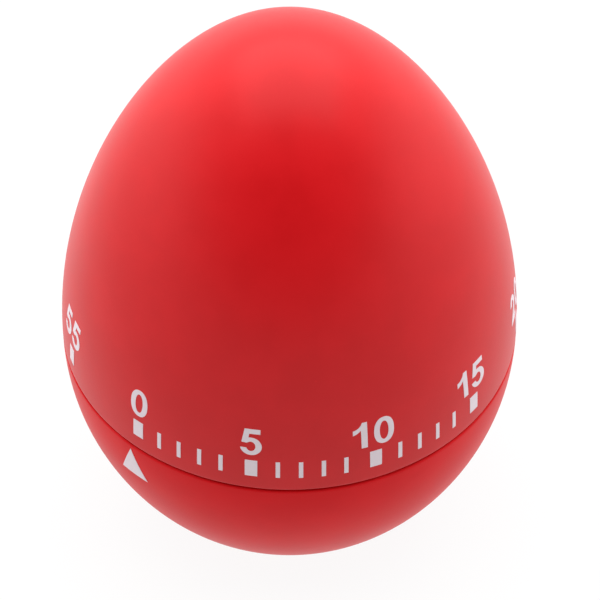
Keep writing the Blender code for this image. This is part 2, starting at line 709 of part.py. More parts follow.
# ---- Gear train ----
def toothed(teeth, half_widths, phase):
    """A gear outline. half_widths lists (radius, half the tooth's width there), from root to tip."""
    outline = []
    for tooth in range(teeth):
        centre = phase + 2 * math.pi * tooth / teeth
        outline += [polar(r, centre - w / r) for r, w in half_widths]
        outline += [polar(r, centre + w / r) for r, w in reversed(half_widths)]
    return outline


def gear_outline(teeth, module, tooth, phase):
    """The outline of a wheel or a pinion, from its tooth's shape in modules."""
    pitch = module * teeth / 2
    return toothed(teeth, [(pitch + rise * module, half * module) for rise, half in tooth], phase)


def mesh_phase(centres_angle, teeth, phase, next_teeth):
    """Phase of the next gear so that its gap meets this gear's tooth on the line of centres."""
    offset = (centres_angle - phase) * teeth / (2 * math.pi)
    return centres_angle + math.pi - (0.5 - offset) * 2 * math.pi / next_teeth


SECOND_PHASE = mesh_phase(SECOND_ANGLE, MAIN_TEETH, 0.0, PINION_LEAVES)
THIRD_PHASE = mesh_phase(direction(SECOND_AT, THIRD_AT), SECOND_TEETH, SECOND_PHASE, PINION_LEAVES)
ESCAPE_PHASE = mesh_phase(direction(THIRD_AT, ESCAPE_AT), THIRD_TEETH, THIRD_PHASE, PINION_LEAVES)


def wheel(name, teeth, module, low, at, phase, holes):
    outline = gear_outline(teeth, module, WHEEL_TOOTH, phase)
    return place(flat([outline, *holes], low, WHEEL_THICKNESS, at), name, BRASS)


def pivoted_shaft(at, wheel_z):
    """A shaft that turns in both plates, with a collar over its wheel."""
    collar_z = wheel_z + WHEEL_THICKNESS + SEAT_GAP
    low, high = LOWER_PLATE_TOP + SEAT_GAP, UPPER_PLATE_Z - SEAT_GAP
    profile = [
        (0.0, UPPER_PLATE_TOP - SEAT_GAP),
        (PIVOT_RADIUS, UPPER_PLATE_TOP - SEAT_GAP),
        (PIVOT_RADIUS, high),
        (SHAFT_RADIUS, high),
        (SHAFT_RADIUS, collar_z + WHEEL_COLLAR),
        (COLLAR_RADIUS, collar_z + WHEEL_COLLAR),
        (COLLAR_RADIUS, collar_z),
        (SHAFT_RADIUS, collar_z),
        (SHAFT_RADIUS, low),
        (PIVOT_RADIUS, low),
        (PIVOT_RADIUS, LOWER_PLATE_Z + SEAT_GAP),
        (0.0, LOWER_PLATE_Z + SEAT_GAP),
    ]
    return turned(profile, SMALL_FACETS, at)


def pinion_arbor(name, at, wheel_z, driver_z, module, phase):
    """A shaft with a pinion cut on it, level with the wheel that drives it."""
    outline = gear_outline(PINION_LEAVES, module, PINION_LEAF, phase)
    leaves = flat_mesh([outline], driver_z - PINION_OVERLAP, WHEEL_THICKNESS + 2 * PINION_OVERLAP, at)
    return place(combine(pivoted_shaft(at, wheel_z), leaves, "UNION"), name, ZINC_STEEL)


def gear_train():
    bore = hole(SHAFT_RADIUS + PRESS_GAP)
    rivet_hole = hole(CLICK_RIVET_RADIUS + PRESS_GAP, at=CLICK_AT)
    main_holes = [hole(ARBOR_RADIUS + RUNNING_GAP, ROUND_FACETS), rivet_hole]
    wheel("main_wheel", MAIN_TEETH, MAIN_MODULE, MAIN_WHEEL_Z, (0.0, 0.0), 0.0, main_holes)
    wheel("second_wheel", SECOND_TEETH, SECOND_MODULE, SECOND_WHEEL_Z, SECOND_AT, SECOND_PHASE, [bore])
    wheel("third_wheel", THIRD_TEETH, THIRD_MODULE, THIRD_WHEEL_Z, THIRD_AT, THIRD_PHASE, [bore])
    pinion_arbor("second_pinion", SECOND_AT, SECOND_WHEEL_Z, MAIN_WHEEL_Z, MAIN_MODULE, SECOND_PHASE)
    pinion_arbor("third_pinion", THIRD_AT, THIRD_WHEEL_Z, SECOND_WHEEL_Z, SECOND_MODULE, THIRD_PHASE)
    pinion_arbor("escape_pinion", ESCAPE_AT, ESCAPE_WHEEL_Z, THIRD_WHEEL_Z, THIRD_MODULE, ESCAPE_PHASE)


# ---- Escapement ----
PIN_SPREAD = math.pi * PIN_PITCHES / ESCAPE_TEETH
PIN_CIRCLE = ESCAPE_TIP_RADIUS + PIN_RADIUS + PIN_CLEARANCE


def escape_wheel():
    """Its teeth stand a quarter pitch from each pallet pin, so that either pin can drop between two."""
    phase = PALLET_LINE + PIN_SPREAD - math.pi / (2 * ESCAPE_TEETH)
    shape = [(ESCAPE_ROOT_RADIUS, ESCAPE_TOOTH_ROOT), (ESCAPE_TIP_RADIUS, ESCAPE_TOOTH_TIP)]
    outlines = [toothed(ESCAPE_TEETH, shape, phase), hole(SHAFT_RADIUS + PRESS_GAP)]
    place(flat(outlines, ESCAPE_WHEEL_Z, WHEEL_THICKNESS, ESCAPE_AT), "escape_wheel", BRASS)


def pallet_lever():
    """Two arms reach from the balance staff to pins that stand either side of the escape wheel."""
    low = ESCAPE_WHEEL_Z + WHEEL_THICKNESS + 3 * SEAT_GAP
    pins = [polar(PIN_CIRCLE, PALLET_LINE + side * PIN_SPREAD, ESCAPE_AT) for side in (-1, 1)]
    reach = math.dist(BALANCE_AT, pins[0])
    side_turn = LEVER_HALF_WIDTH / reach
    angles = [direction(BALANCE_AT, pin) for pin in pins]
    outline = []
    for angle, following in zip(angles, reversed(angles)):
        outline += [polar(LEVER_HUB, angle - LEVER_ROOT_TURN), polar(reach, angle - side_turn)]
        outline += [polar(reach + LEVER_HALF_WIDTH, angle), polar(reach, angle + side_turn)]
        turn = (following - angle) % (2 * math.pi)
        hub = spaced(angle + LEVER_ROOT_TURN, angle + turn - LEVER_ROOT_TURN, ARC_STEPS)
        outline += [polar(LEVER_HUB, a) for a in hub[:-1]]
    lever = flat_mesh([outline, hole(SHAFT_RADIUS + PRESS_GAP)], low, LEVER_THICKNESS, BALANCE_AT)
    for at in pins:
        pin = rod(PIN_RADIUS, ESCAPE_WHEEL_Z - 2 * SEAT_GAP, low + LEVER_THICKNESS / 2, PIN_FACETS, at)
        combine(lever, pin, "UNION")
    place(lever, "pallet_lever", ZINC_STEEL)


def balance():
    """A crossed brass wheel on its staff."""
    rim_inner = BALANCE_RADIUS - BALANCE_RIM
    rim_turn = math.asin(BALANCE_SPOKE_HALF / rim_inner)
    hub_turn = math.asin(BALANCE_SPOKE_HALF / BALANCE_HUB)
    pitch = 2 * math.pi / BALANCE_SPOKES
    outlines = [circle(BALANCE_RADIUS, ROUND_FACETS), hole(SHAFT_RADIUS + PRESS_GAP)]
    for spoke in range(BALANCE_SPOKES):
        start, end = spoke * pitch, (spoke + 1) * pitch
        rim = [polar(rim_inner, a) for a in spaced(start + rim_turn, end - rim_turn, ARC_STEPS)]
        inside = [polar(BALANCE_HUB, a) for a in spaced(end - hub_turn, start + hub_turn, TAB_STEPS)]
        outlines.append(rim + inside)
    place(flat(outlines, BALANCE_Z, WHEEL_THICKNESS, BALANCE_AT), "balance_wheel", BRASS)
    place(pivoted_shaft(BALANCE_AT, BALANCE_Z), "balance_staff", ZINC_STEEL)


# ---- Main arbor and what it carries ----
def main_arbor():
    flange_low = RATCHET_Z + RATCHET_THICKNESS + SEAT_GAP
    flange_high = flange_low + ARBOR_FLANGE
    top = CARRIER_TOP + CARRIER_HUB_RISE - SEAT_GAP
    profile = [
        (0.0, top),
        (ARBOR_RADIUS - RIM_CHAMFER, top),
        (ARBOR_RADIUS, top - RIM_CHAMFER),
        (ARBOR_RADIUS, flange_high),
        (ARBOR_FLANGE_RADIUS, flange_high),
        (ARBOR_FLANGE_RADIUS, flange_low),
        (ARBOR_RADIUS, flange_low),
        (ARBOR_RADIUS, LOWER_PLATE_TOP + SEAT_GAP),
        (ARBOR_PIVOT_RADIUS, LOWER_PLATE_TOP + SEAT_GAP),
        (ARBOR_PIVOT_RADIUS, LOWER_PLATE_Z - SEAT_GAP),
        (0.0, LOWER_PLATE_Z - SEAT_GAP),
    ]
    arbor = turned(profile, ROUND_FACETS)
    flat_low = CARRIER_Z - CARRIER_HUB_DROP - SEAT_GAP
    size = (ARBOR_RADIUS, 3 * ARBOR_RADIUS, 2 * (top - flat_low))
    centre = (ARBOR_RADIUS - ARBOR_FLAT + size[0] / 2, 0.0, flat_low + size[2] / 2)
    place(combine(arbor, box(size, centre), "DIFFERENCE"), "main_arbor", ZINC_STEEL)


def ratchet_wheel():
    outline = []
    for tooth in range(RATCHET_TEETH):
        start = 2 * math.pi * tooth / RATCHET_TEETH
        outline += [polar(RATCHET_RADIUS - RATCHET_DEPTH, start), polar(RATCHET_RADIUS, start)]
    outlines = [outline[::-1], hole(ARBOR_RADIUS + PRESS_GAP, ROUND_FACETS)]
    place(flat(outlines, RATCHET_Z, RATCHET_THICKNESS), "ratchet_wheel", ZINC_STEEL)


def click():
    """Pawl on the main wheel that lets the arbor turn one way past it."""
    tip = polar(RATCHET_RADIUS + SEAT_GAP, CLICK_TIP_ANGLE)
    angle = direction(CLICK_AT, tip)
    round_end = spaced(angle + math.pi / 2, angle + 3 * math.pi / 2, ARC_STEPS)
    eye = [polar(CLICK_EYE, a, CLICK_AT) for a in round_end]
    outlines = [[tip, *eye], hole(CLICK_RIVET_RADIUS + RUNNING_GAP, at=CLICK_AT)]
    place(flat(outlines, RATCHET_Z, CLICK_THICKNESS), "click", ZINC_STEEL)
    seat = RATCHET_Z + CLICK_THICKNESS + SEAT_GAP
    rivet = [
        (0.0, seat + CLICK_RIVET_HEAD_HEIGHT),
        (CLICK_RIVET_HEAD, seat + CLICK_RIVET_HEAD_HEIGHT),
        (CLICK_RIVET_HEAD, seat),
        (CLICK_RIVET_RADIUS, seat),
        (CLICK_RIVET_RADIUS, MAIN_WHEEL_Z),
        (0.0, MAIN_WHEEL_Z),
    ]
    place(turned(rivet, SMALL_FACETS, CLICK_AT), "click_rivet", BRASS)


def click_spring():
    """Bent wire on the main wheel that presses the click towards the ratchet."""
    touch = CLICK_CIRCLE + CLICK_EYE + SEAT_GAP + CLICK_SPRING_RADIUS
    bow = [polar(touch, a) for a in spaced(CLICK_SPRING_START, CLICK_SPRING_END, ARC_STEPS + 1)]
    points = [(x, y, 0.0) for x, y in [*bow, polar(CLICK_CIRCLE, CLICK_SPRING_FOOT)]]
    place(wire(points, CLICK_SPRING_RADIUS, RATCHET_Z + CLICK_SPRING_RADIUS), "click_spring", SPRING_STEEL)


def arbor_clip():
    """Open retaining ring under the main wheel."""
    bore = ARBOR_RADIUS + SEAT_GAP
    angles = spaced(CLIP_OPENING, 2 * math.pi - CLIP_OPENING, COIL_FACETS)
    outer = [polar(bore + CLIP_WIDTH, a) for a in angles]
    inner = [polar(bore, a) for a in reversed(angles)]
    low = MAIN_WHEEL_Z - SEAT_GAP - CLIP_THICKNESS
    place(flat([outer + inner], low, CLIP_THICKNESS), "arbor_clip", SPRING_STEEL)


def strike_cam():
    """Disc whose rim holds the hammer off the bell. Its notch takes in the turn that the dial can't reach."""
    unreached = 2 * math.pi - DIAL_RANGE
    floor = STRIKE_CAM_RADIUS - STRIKE_NOTCH_DEPTH
    margin = (HAMMER_NIB_WIDTH / 2 + CASE_GAP) / floor
    start, end = NIB_ANGLE - unreached - margin, NIB_ANGLE + margin
    rim = [polar(STRIKE_CAM_RADIUS, a) for a in spaced(end, start + 2 * math.pi, ROUND_FACETS)]
    notch = [polar(floor, a) for a in spaced(start, end, ARC_STEPS)]
    outlines = [rim + notch, hole(ARBOR_RADIUS + PRESS_GAP, ROUND_FACETS)]
    place(flat(outlines, STRIKE_CAM_Z, STRIKE_CAM_THICKNESS), "strike_cam", BRASS)


# ---- Mainspring ----
def spring_housing():
    """Cup over the mainspring, open below, with a screwed flange and a neck that carries the bell."""
    bore = (ARBOR_RADIUS + RUNNING_GAP) / math.cos(math.pi / ROUND_FACETS)
    flange = HOUSING_RADIUS + HOUSING_FLANGE
    flange_top = HOUSING_Z + HOUSING_WALL
    profile = [
        (bore, NECK_TOP),
        (HOUSING_NECK_RADIUS, NECK_TOP),
        (HOUSING_NECK_RADIUS, HOUSING_TOP),
        (HOUSING_RADIUS, HOUSING_TOP),
        (HOUSING_RADIUS, flange_top),
        (flange, flange_top),
        (flange, HOUSING_Z),
        (HOUSING_RADIUS - HOUSING_WALL, HOUSING_Z),
        (HOUSING_RADIUS - HOUSING_WALL, HOUSING_TOP - HOUSING_WALL),
        (bore, HOUSING_TOP - HOUSING_WALL),
    ]
    housing = turned(profile, ROUND_FACETS)
    thread = HOUSING_WALL + PLATE_THICKNESS
    inset = (PLATE_SCREW[0] - PRESS_GAP, HOUSING_SCREW_HEAD, PLATE_SCREW[2])
    for number, at in enumerate(HOUSING_SCREWS_AT, 1):
        clearance = hole_rod(PLATE_SCREW[0] + PRESS_GAP, HOUSING_Z - WALL, flange_top + WALL, at)
        combine(housing, clearance, "DIFFERENCE")
        screw(f"housing_screw_{number}", inset, flange_top + SEAT_GAP, thread, at)
    place(housing, "spring_housing", ZINC_STEEL)


def mainspring():
    """Flat strip coiled from the arbor to the housing's wall."""
    start = ARBOR_RADIUS + 2 * RUNNING_GAP + SPRING_STRIP / 2
    end = HOUSING_RADIUS - HOUSING_WALL - 2 * RUNNING_GAP - SPRING_STRIP
    steps = COIL_FACETS * SPRING_TURNS
    sweep = 2 * math.pi * SPRING_TURNS
    inner, outer = [], []
    for i in range(steps + 1):
        share = i / steps
        angle, radius = sweep * share, start + (end - start) * share
        inner.append(polar(radius - SPRING_STRIP / 2, angle))
        outer.append(polar(radius + SPRING_STRIP / 2, angle))
    low = HOUSING_Z + (HOUSING_HEIGHT - HOUSING_WALL - SPRING_HEIGHT) / 2
    place(flat([inner + outer[::-1]], low, SPRING_HEIGHT), "mainspring", SPRING_STEEL)


# ---- Bell and hammer ----
def bell():
    """A struck cup over the spring housing, with a rounded shoulder."""
    centre_hole = HOUSING_NECK_RADIUS + SEAT_GAP
    bottom = BELL_TOP - BELL_DROP
    corner = (BELL_RADIUS - BELL_CORNER, BELL_TOP - BELL_CORNER)
    angles = spaced(math.pi / 2, 0.0, BELL_BEND_STEPS)
    shoulder = [polar(BELL_CORNER, a, corner) for a in angles]
    hollow = [polar(BELL_CORNER - BELL_WALL, a, corner) for a in reversed(angles)]
    outside = [(centre_hole, BELL_TOP), *shoulder, (BELL_RADIUS, bottom)]
    inside = [(BELL_RADIUS - BELL_WALL, bottom), *hollow, (centre_hole, BELL_TOP - BELL_WALL)]
    place(turned(outside + inside, SHELL_FACETS), "bell", NICKEL)


def bell_nut():
    outlines = [circle(NUT_RADIUS, NUT_SIDES), hole(HOUSING_NECK_RADIUS + PRESS_GAP, ROUND_FACETS)]
    place(flat(outlines, NUT_Z, NUT_HEIGHT), "bell_nut", BRASS)


def local_outline(origin, angle, points):
    """Turns (along, across) points into the plan, with along pointing at the angle from origin."""
    cosine, sine = math.cos(angle), math.sin(angle)
    return [(origin[0] + u * cosine - v * sine, origin[1] + u * sine + v * cosine) for u, v in points]


def eye_points():
    """The round end of an arm that runs along +X from its eye, from one side of it to the other."""
    angles = spaced(HAMMER_EYE_OPENING, 2 * math.pi - HAMMER_EYE_OPENING, EYE_STEPS)
    return [polar(HAMMER_EYE, a) for a in angles]


def hammer_arm():
    """Sprung arm above the plates that carries the striker to the bell."""
    half = HAMMER_ARM_WIDTH / 2
    end = math.dist(HAMMER_AT, STRIKER_AT) + half
    neck = HAMMER_EYE + STRIKER_STUD
    shape = [(end, half), (neck, half), *eye_points(), (neck, -half), (end, -half)]
    outlines = [local_outline(HAMMER_AT, direction(HAMMER_AT, STRIKER_AT), shape)]
    outlines.append(hole(SHAFT_RADIUS + PRESS_GAP, at=HAMMER_AT))
    outlines.append(hole(STRIKER_STUD + PRESS_GAP, at=STRIKER_AT))
    place(flat(outlines, HAMMER_ARM_Z, HAMMER_ARM_THICKNESS), "hammer_arm", ZINC_STEEL)


def striker():
    top = STRIKER_Z + STRIKER_HEIGHT
    profile = [
        (0.0, top),
        (STRIKER_RADIUS * STRIKER_CROWN_SHARE, top),
        (STRIKER_RADIUS, STRIKER_Z + STRIKER_HEIGHT * STRIKER_CROWN_SHARE),
        (STRIKER_RADIUS, STRIKER_Z),
        (STRIKER_STUD, STRIKER_Z),
        (STRIKER_STUD, HAMMER_ARM_Z),
        (0.0, HAMMER_ARM_Z),
    ]
    place(turned(profile, COIL_FACETS, STRIKER_AT), "striker", BRASS)


def hammer_tail():
    """Arm between the plates whose nib rides on the cam's rim."""
    half, nib = HAMMER_TAIL_WIDTH / 2, HAMMER_NIB_WIDTH / 2
    length = math.sqrt(HAMMER_CIRCLE**2 - TAIL_LINE_RADIUS**2)
    shape = [
        (length + nib, -half - HAMMER_NIB_LENGTH),
        (length + nib, half),
        *eye_points(),
        (length - nib, -half),
        (length - nib, -half - HAMMER_NIB_LENGTH),
    ]
    foot = polar(TAIL_LINE_RADIUS, NIB_ANGLE)
    outlines = [local_outline(HAMMER_AT, direction(HAMMER_AT, foot), shape)]
    outlines.append(hole(SHAFT_RADIUS + PRESS_GAP, at=HAMMER_AT))
    place(flat(outlines, STRIKE_CAM_Z, STRIKE_CAM_THICKNESS), "hammer_tail", ZINC_STEEL)


def hammer_arbor():
    """Shaft through both plates, with a collar between the tail and the upper plate."""
    tail_top = STRIKE_CAM_Z + STRIKE_CAM_THICKNESS + SEAT_GAP
    profile = [
        (0.0, STRIKER_Z),
        (SHAFT_RADIUS, STRIKER_Z),
        (SHAFT_RADIUS, UPPER_PLATE_Z - SEAT_GAP),
        (COLLAR_RADIUS, UPPER_PLATE_Z - SEAT_GAP),
        (COLLAR_RADIUS, tail_top),
        (SHAFT_RADIUS, tail_top),
        (SHAFT_RADIUS, LOWER_PLATE_TOP + SEAT_GAP),
        (PIVOT_RADIUS, LOWER_PLATE_TOP + SEAT_GAP),
        (PIVOT_RADIUS, LOWER_PLATE_Z + SEAT_GAP),
        (0.0, LOWER_PLATE_Z + SEAT_GAP),
    ]
    place(turned(profile, SMALL_FACETS, HAMMER_AT), "hammer_arbor", ZINC_STEEL)


def hammer_spring():
    """Torsion spring round the hammer's arbor: one leg on a pillar screw, the other outside the arm."""
    low = UPPER_PLATE_TOP + SEAT_GAP + HAMMER_SPRING_WIRE
    high = HAMMER_ARM_Z - SEAT_GAP - HAMMER_SPRING_WIRE
    screw_at = PILLARS_AT[-1]
    arm_angle = direction(HAMMER_AT, STRIKER_AT)
    beside = HAMMER_ARM_WIDTH / 2 + SEAT_GAP + HAMMER_SPRING_WIRE
    leg = local_outline(HAMMER_AT, arm_angle, [(HAMMER_SPRING_LEG, beside)])[0]
    clear = PLATE_SCREW[1] + SEAT_GAP + HAMMER_SPRING_WIRE
    rest = local_outline(screw_at, direction(HAMMER_AT, screw_at), [(0.0, -clear)])[0]
    start = direction(HAMMER_AT, rest) - math.pi / 2
    end = arm_angle + math.pi / 2
    sweep = (end - start) % (2 * math.pi) + 2 * math.pi
    coil = []
    for share in spaced(0.0, 1.0, HAMMER_SPRING_STEPS):
        x, y = polar(HAMMER_SPRING_RADIUS, start + sweep * share, HAMMER_AT)
        coil.append((x, y, low + (high - low) * share))
    tip = HAMMER_ARM_Z + HAMMER_ARM_THICKNESS
    points = [(*rest, low), *coil, (*leg, high), (*leg, tip)]
    place(wire(points, HAMMER_SPRING_WIRE, 0.0), "hammer_spring", SPRING_STEEL)


# ---- Dial carrier ----
def dial_carrier():
    """Disc screwed into the dome, with a flatted hub on the arbor and a stop rib under it."""
    rim = min(inner_radius(CARRIER_Z), inner_radius(CARRIER_TOP)) - CASE_GAP
    hub_low = CARRIER_Z - CARRIER_HUB_DROP
    profile = [
        (0.0, CARRIER_TOP + CARRIER_HUB_RISE),
        (CARRIER_HUB_RADIUS, CARRIER_TOP + CARRIER_HUB_RISE),
        (CARRIER_HUB_RADIUS, CARRIER_TOP),
        (rim, CARRIER_TOP),
        (rim, CARRIER_Z),
        (RIB_OUTER_RADIUS, CARRIER_Z),
        (RIB_OUTER_RADIUS, CARRIER_Z - CARRIER_RIB_DROP),
        (CARRIER_RIB_RADIUS, CARRIER_Z - CARRIER_RIB_DROP),
        (CARRIER_RIB_RADIUS, CARRIER_Z),
        (CARRIER_HUB_RADIUS, CARRIER_Z),
        (CARRIER_HUB_RADIUS, hub_low),
        (0.0, hub_low),
    ]
    carrier = turned(profile, SHELL_FACETS)
    bore = (ARBOR_RADIUS + PRESS_GAP) / math.cos(math.pi / ROUND_FACETS)
    flat_start = math.acos((ARBOR_RADIUS - ARBOR_FLAT + PRESS_GAP) / bore)
    socket = [polar(bore, a) for a in spaced(flat_start, 2 * math.pi - flat_start, ROUND_FACETS)]
    depth = CARRIER_HUB_DROP + CARRIER_WEB + CARRIER_HUB_RISE
    combine(carrier, flat_mesh([socket], hub_low - depth, 3 * depth), "DIFFERENCE")
    for at in CARRIER_SCREWS_AT:
        clearance = hole_rod(CARRIER_SCREW[0] + PRESS_GAP, CARRIER_Z - WALL, CARRIER_TOP + WALL, at)
        combine(carrier, clearance, "DIFFERENCE")
    pin_angle = (STOP_PIN_RADIUS + STOP_CLEARANCE) / STOP_CIRCLE
    unreached = 2 * math.pi - DIAL_RANGE
    middle, half = STOP_ANGLE - unreached / 2, unreached / 2 - pin_angle
    inside, outside = STOP_CIRCLE - STOP_PIN_RADIUS, CARRIER_RIB_RADIUS + CARRIER_RIB_WIDTH / 2
    outer_arc = [polar(outside, a) for a in spaced(middle - half, middle + half, TAB_STEPS)]
    inner_arc = [polar(inside, a) for a in spaced(middle + half, middle - half, TAB_STEPS)]
    tab_depth = CARRIER_RIB_DROP + CARRIER_WEB / 2
    combine(carrier, flat_mesh([outer_arc + inner_arc], CARRIER_Z - CARRIER_RIB_DROP, tab_depth), "UNION")
    return place(carrier, "dial_carrier", NATURAL_PLASTIC)


def carrier_screws():
    seat = CARRIER_Z - SEAT_GAP
    reach = DOME_BOSS_Z + CARRIER_SCREW_GRIP - CASE_GAP - seat
    for number, at in enumerate(CARRIER_SCREWS_AT, 1):
        screw(f"carrier_screw_{number}", CARRIER_SCREW, seat, reach, at, head_up=False)


# Which pieces turn together, and the place of the upright axis that they turn about.
MOVING = {
    "dial_axis": (
        (0.0, 0.0),
        "upper_shell dial_carrier carrier_screw_1 carrier_screw_2 carrier_screw_3 main_arbor main_wheel"
        " ratchet_wheel click click_rivet click_spring arbor_clip strike_cam",
    ),
    "second_axis": (SECOND_AT, "second_pinion second_wheel"),
    "third_axis": (THIRD_AT, "third_pinion third_wheel"),
    "escape_axis": (ESCAPE_AT, "escape_pinion escape_wheel"),
    "balance_axis": (BALANCE_AT, "balance_staff balance_wheel pallet_lever"),
    "hammer_axis": (HAMMER_AT, "hammer_arbor hammer_arm hammer_tail striker"),
}


def group_on_axes():
    """Parents each moving piece to an empty that stands on its joint's axis."""
    for name, (at, pieces) in MOVING.items():
        axis = bpy.data.objects.new(name, None)
        axis.location = (*at, UPPER_PLATE_Z)
        axis.empty_display_size = PLATE_SPACING
        TIMER.objects.link(axis)
        bpy.context.view_layer.update()
        for piece in pieces.split():
            bpy.data.objects[piece].parent = axis
            bpy.data.objects[piece].matrix_parent_inverse = axis.matrix_world.inverted()


def shade_round_faces():
    """Applies each piece's modifiers, then shades its round faces smooth and keeps its corners sharp."""
    bpy.context.view_layer.update()
    graph = bpy.context.evaluated_depsgraph_get()
    pieces = [obj for obj in TIMER.objects if obj.type == "MESH"]
    finished = [(obj, bpy.data.meshes.new_from_object(obj.evaluated_get(graph))) for obj in pieces]
    for obj, mesh in finished:
        obj.modifiers.clear()
        mesh.name = obj.name
        obj.data = mesh
        mesh.shade_smooth()
        mesh.set_sharp_from_angle(angle=SHARP_ANGLE)


def main():
    upper_shell()
    lower_shell()
    case_screws()
    pillars()
    lower_plate()
    upper_plate()
    stop_pin()
    gear_train()
    escape_wheel()
    pallet_lever()
    balance()
    main_arbor()
    ratchet_wheel()
    click()
    click_spring()
    arbor_clip()
    strike_cam()
    spring_housing()
    mainspring()
    bell()
    bell_nut()
    hammer_arm()
    striker()
    hammer_tail()
    hammer_arbor()
    hammer_spring()
    dial_carrier()
    carrier_screws()
    shade_round_faces()
    group_on_axes()


main()
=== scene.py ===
"""Looks of the wind-up egg timer: its shells, its printed scale, every finish, the light and the camera."""

import math

import bmesh
import bpy
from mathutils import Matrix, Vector
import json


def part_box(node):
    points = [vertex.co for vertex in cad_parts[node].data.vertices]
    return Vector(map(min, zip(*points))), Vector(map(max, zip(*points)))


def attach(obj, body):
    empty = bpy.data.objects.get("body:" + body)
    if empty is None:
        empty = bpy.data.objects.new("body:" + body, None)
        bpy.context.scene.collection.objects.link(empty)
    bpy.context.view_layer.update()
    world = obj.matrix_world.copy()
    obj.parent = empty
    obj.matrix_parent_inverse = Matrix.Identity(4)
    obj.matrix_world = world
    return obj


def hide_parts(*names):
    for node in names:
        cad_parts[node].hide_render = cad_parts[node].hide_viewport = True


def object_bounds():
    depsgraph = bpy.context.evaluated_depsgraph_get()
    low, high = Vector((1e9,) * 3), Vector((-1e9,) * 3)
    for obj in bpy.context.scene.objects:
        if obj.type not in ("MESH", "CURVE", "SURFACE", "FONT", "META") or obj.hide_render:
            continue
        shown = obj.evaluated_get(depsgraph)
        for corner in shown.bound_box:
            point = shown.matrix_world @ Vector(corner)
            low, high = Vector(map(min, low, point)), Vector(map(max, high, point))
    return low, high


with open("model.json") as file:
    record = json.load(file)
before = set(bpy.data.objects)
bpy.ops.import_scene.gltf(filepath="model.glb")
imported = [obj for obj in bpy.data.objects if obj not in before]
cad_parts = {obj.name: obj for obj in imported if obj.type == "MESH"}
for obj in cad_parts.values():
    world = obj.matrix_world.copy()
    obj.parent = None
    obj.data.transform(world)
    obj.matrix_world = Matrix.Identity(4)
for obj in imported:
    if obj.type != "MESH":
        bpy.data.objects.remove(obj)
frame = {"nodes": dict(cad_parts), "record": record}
cad_low, cad_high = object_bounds()

MM = 0.001
TOUCHING = 1e-7

# ---- The egg's outline, whose size comes from the frame ----
RADIUS = (cad_high.x - cad_low.x) / 2
TOP = cad_high.z
EQUATOR = 27.2 * MM
LOWER_SEMI_AXIS = 34.0 * MM
UPPER_TAPER = 0.131
LOWER_TAPER = 0.047
WALL = 1.8 * MM
SEAM = 28.2 * MM
LOWER_RIM = 27.95 * MM
UPPER_RIM = 28.15 * MM
RIM_ROUND = 0.4 * MM
FOOT_ROUND = 0.8 * MM
SPIGOT_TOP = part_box("lower_shell")[1].z
SPIGOT_RADIUS = 27.7 * MM
SPIGOT_INNER = 26.1 * MM
FOOT_RECESS = 0.6 * MM
FOOT_RIM = 4.4 * MM
FLOOR = 2.4 * MM
SPIGOT_ROOT = LOWER_RIM - 2.0 * MM
INSIDE_TOP = SPIGOT_ROOT - 2.0 * MM

# ---- Bosses, screws and slots that the shells are made round ----
SCREW_BOSS = 3.2 * MM
SCREW_BOSS_SINK = 0.9 * MM
SCREW_CLEARANCE = 0.3 * MM
SCREW_BORE = 1.05 * MM
SCREW_LEDGE = FLOOR + 0.05 * MM
DOME_BOSS = 2.4 * MM
DOME_BOSS_HEIGHT = 9.0 * MM
DOME_PILOT = 0.95 * MM
CARRIER_HUB_RISE = 2.2 * MM
SLOT_START = 4.5 * MM
SLOT_LENGTH = 6.0 * MM
SLOT_WIDTH = 1.4 * MM
SLOT_SPREAD = math.radians(17)

# ---- Printed scale ----
ZERO_ANGLE = math.radians(-87.2)
POINTER_ANGLE = math.radians(-90)
MINUTE = math.radians(6)
MARK_LOW = SEAM + 2.38 * MM
MARK_HIGH = SEAM + 5.07 * MM
SQUARE_WIDTH = 1.56 * MM
TICK_WIDTH = 0.54 * MM
TICK_STEPS = (1.06, 1.97, 2.87, 3.77)
LAST_TICKED = 15
NUMBER_LOW = SEAM + 6.03 * MM
DIGIT_HEIGHT = 4.05 * MM
DIGIT_ADVANCE = 3.12 * MM
TENS_SHIFT = -0.42 * MM
POINTER_TIP = SEAM - 1.03 * MM
POINTER_BASE = SEAM - 6.4 * MM
POINTER_WIDTH = 4.4 * MM
INK_PROUD = 0.035 * MM
INK_SUNK = 0.03 * MM
INK_CELL = 0.35 * MM

# ---- How finely the shells are turned, and the angles in degrees over which an edge stays sharp ----
TURNS = 192
BOSS_TURNS = 64
SCREW_TURNS = 48
BORE_TURNS = 32
OUTLINE_STEPS = 96
INSIDE_STEPS = 28
SOFT_ANGLE = 32
PRINT_ANGLE = 40

# ---- Camera ----
CAMERA_AZIMUTH = math.radians(41.9)
CAMERA_ELEVATION = math.radians(46.58)
CAMERA_DISTANCE = 299.2 * MM
CAMERA_LENS = 135.4
CAMERA_SHIFT = (0.0175, 0.0237)
CAMERA_SENSOR = 36.0
CAMERA_CLIP = (0.01, 20.0)

# ---- Light ----
OVERHEAD_WATTS = 5.7
OVERHEAD_SIZE = (0.9, 0.75)
OVERHEAD_BACK = 0.12
OVERHEAD_HEIGHT = 0.60
TENT_BRIGHT = 1.75
TENT_DARK = 0.05
TENT_OPENING = (0.06, 0.9)
TABLE_GLOW = 0.925
TABLE_SIZE = 6.0
WHITE = (1.0, 1.0, 1.0, 1.0)

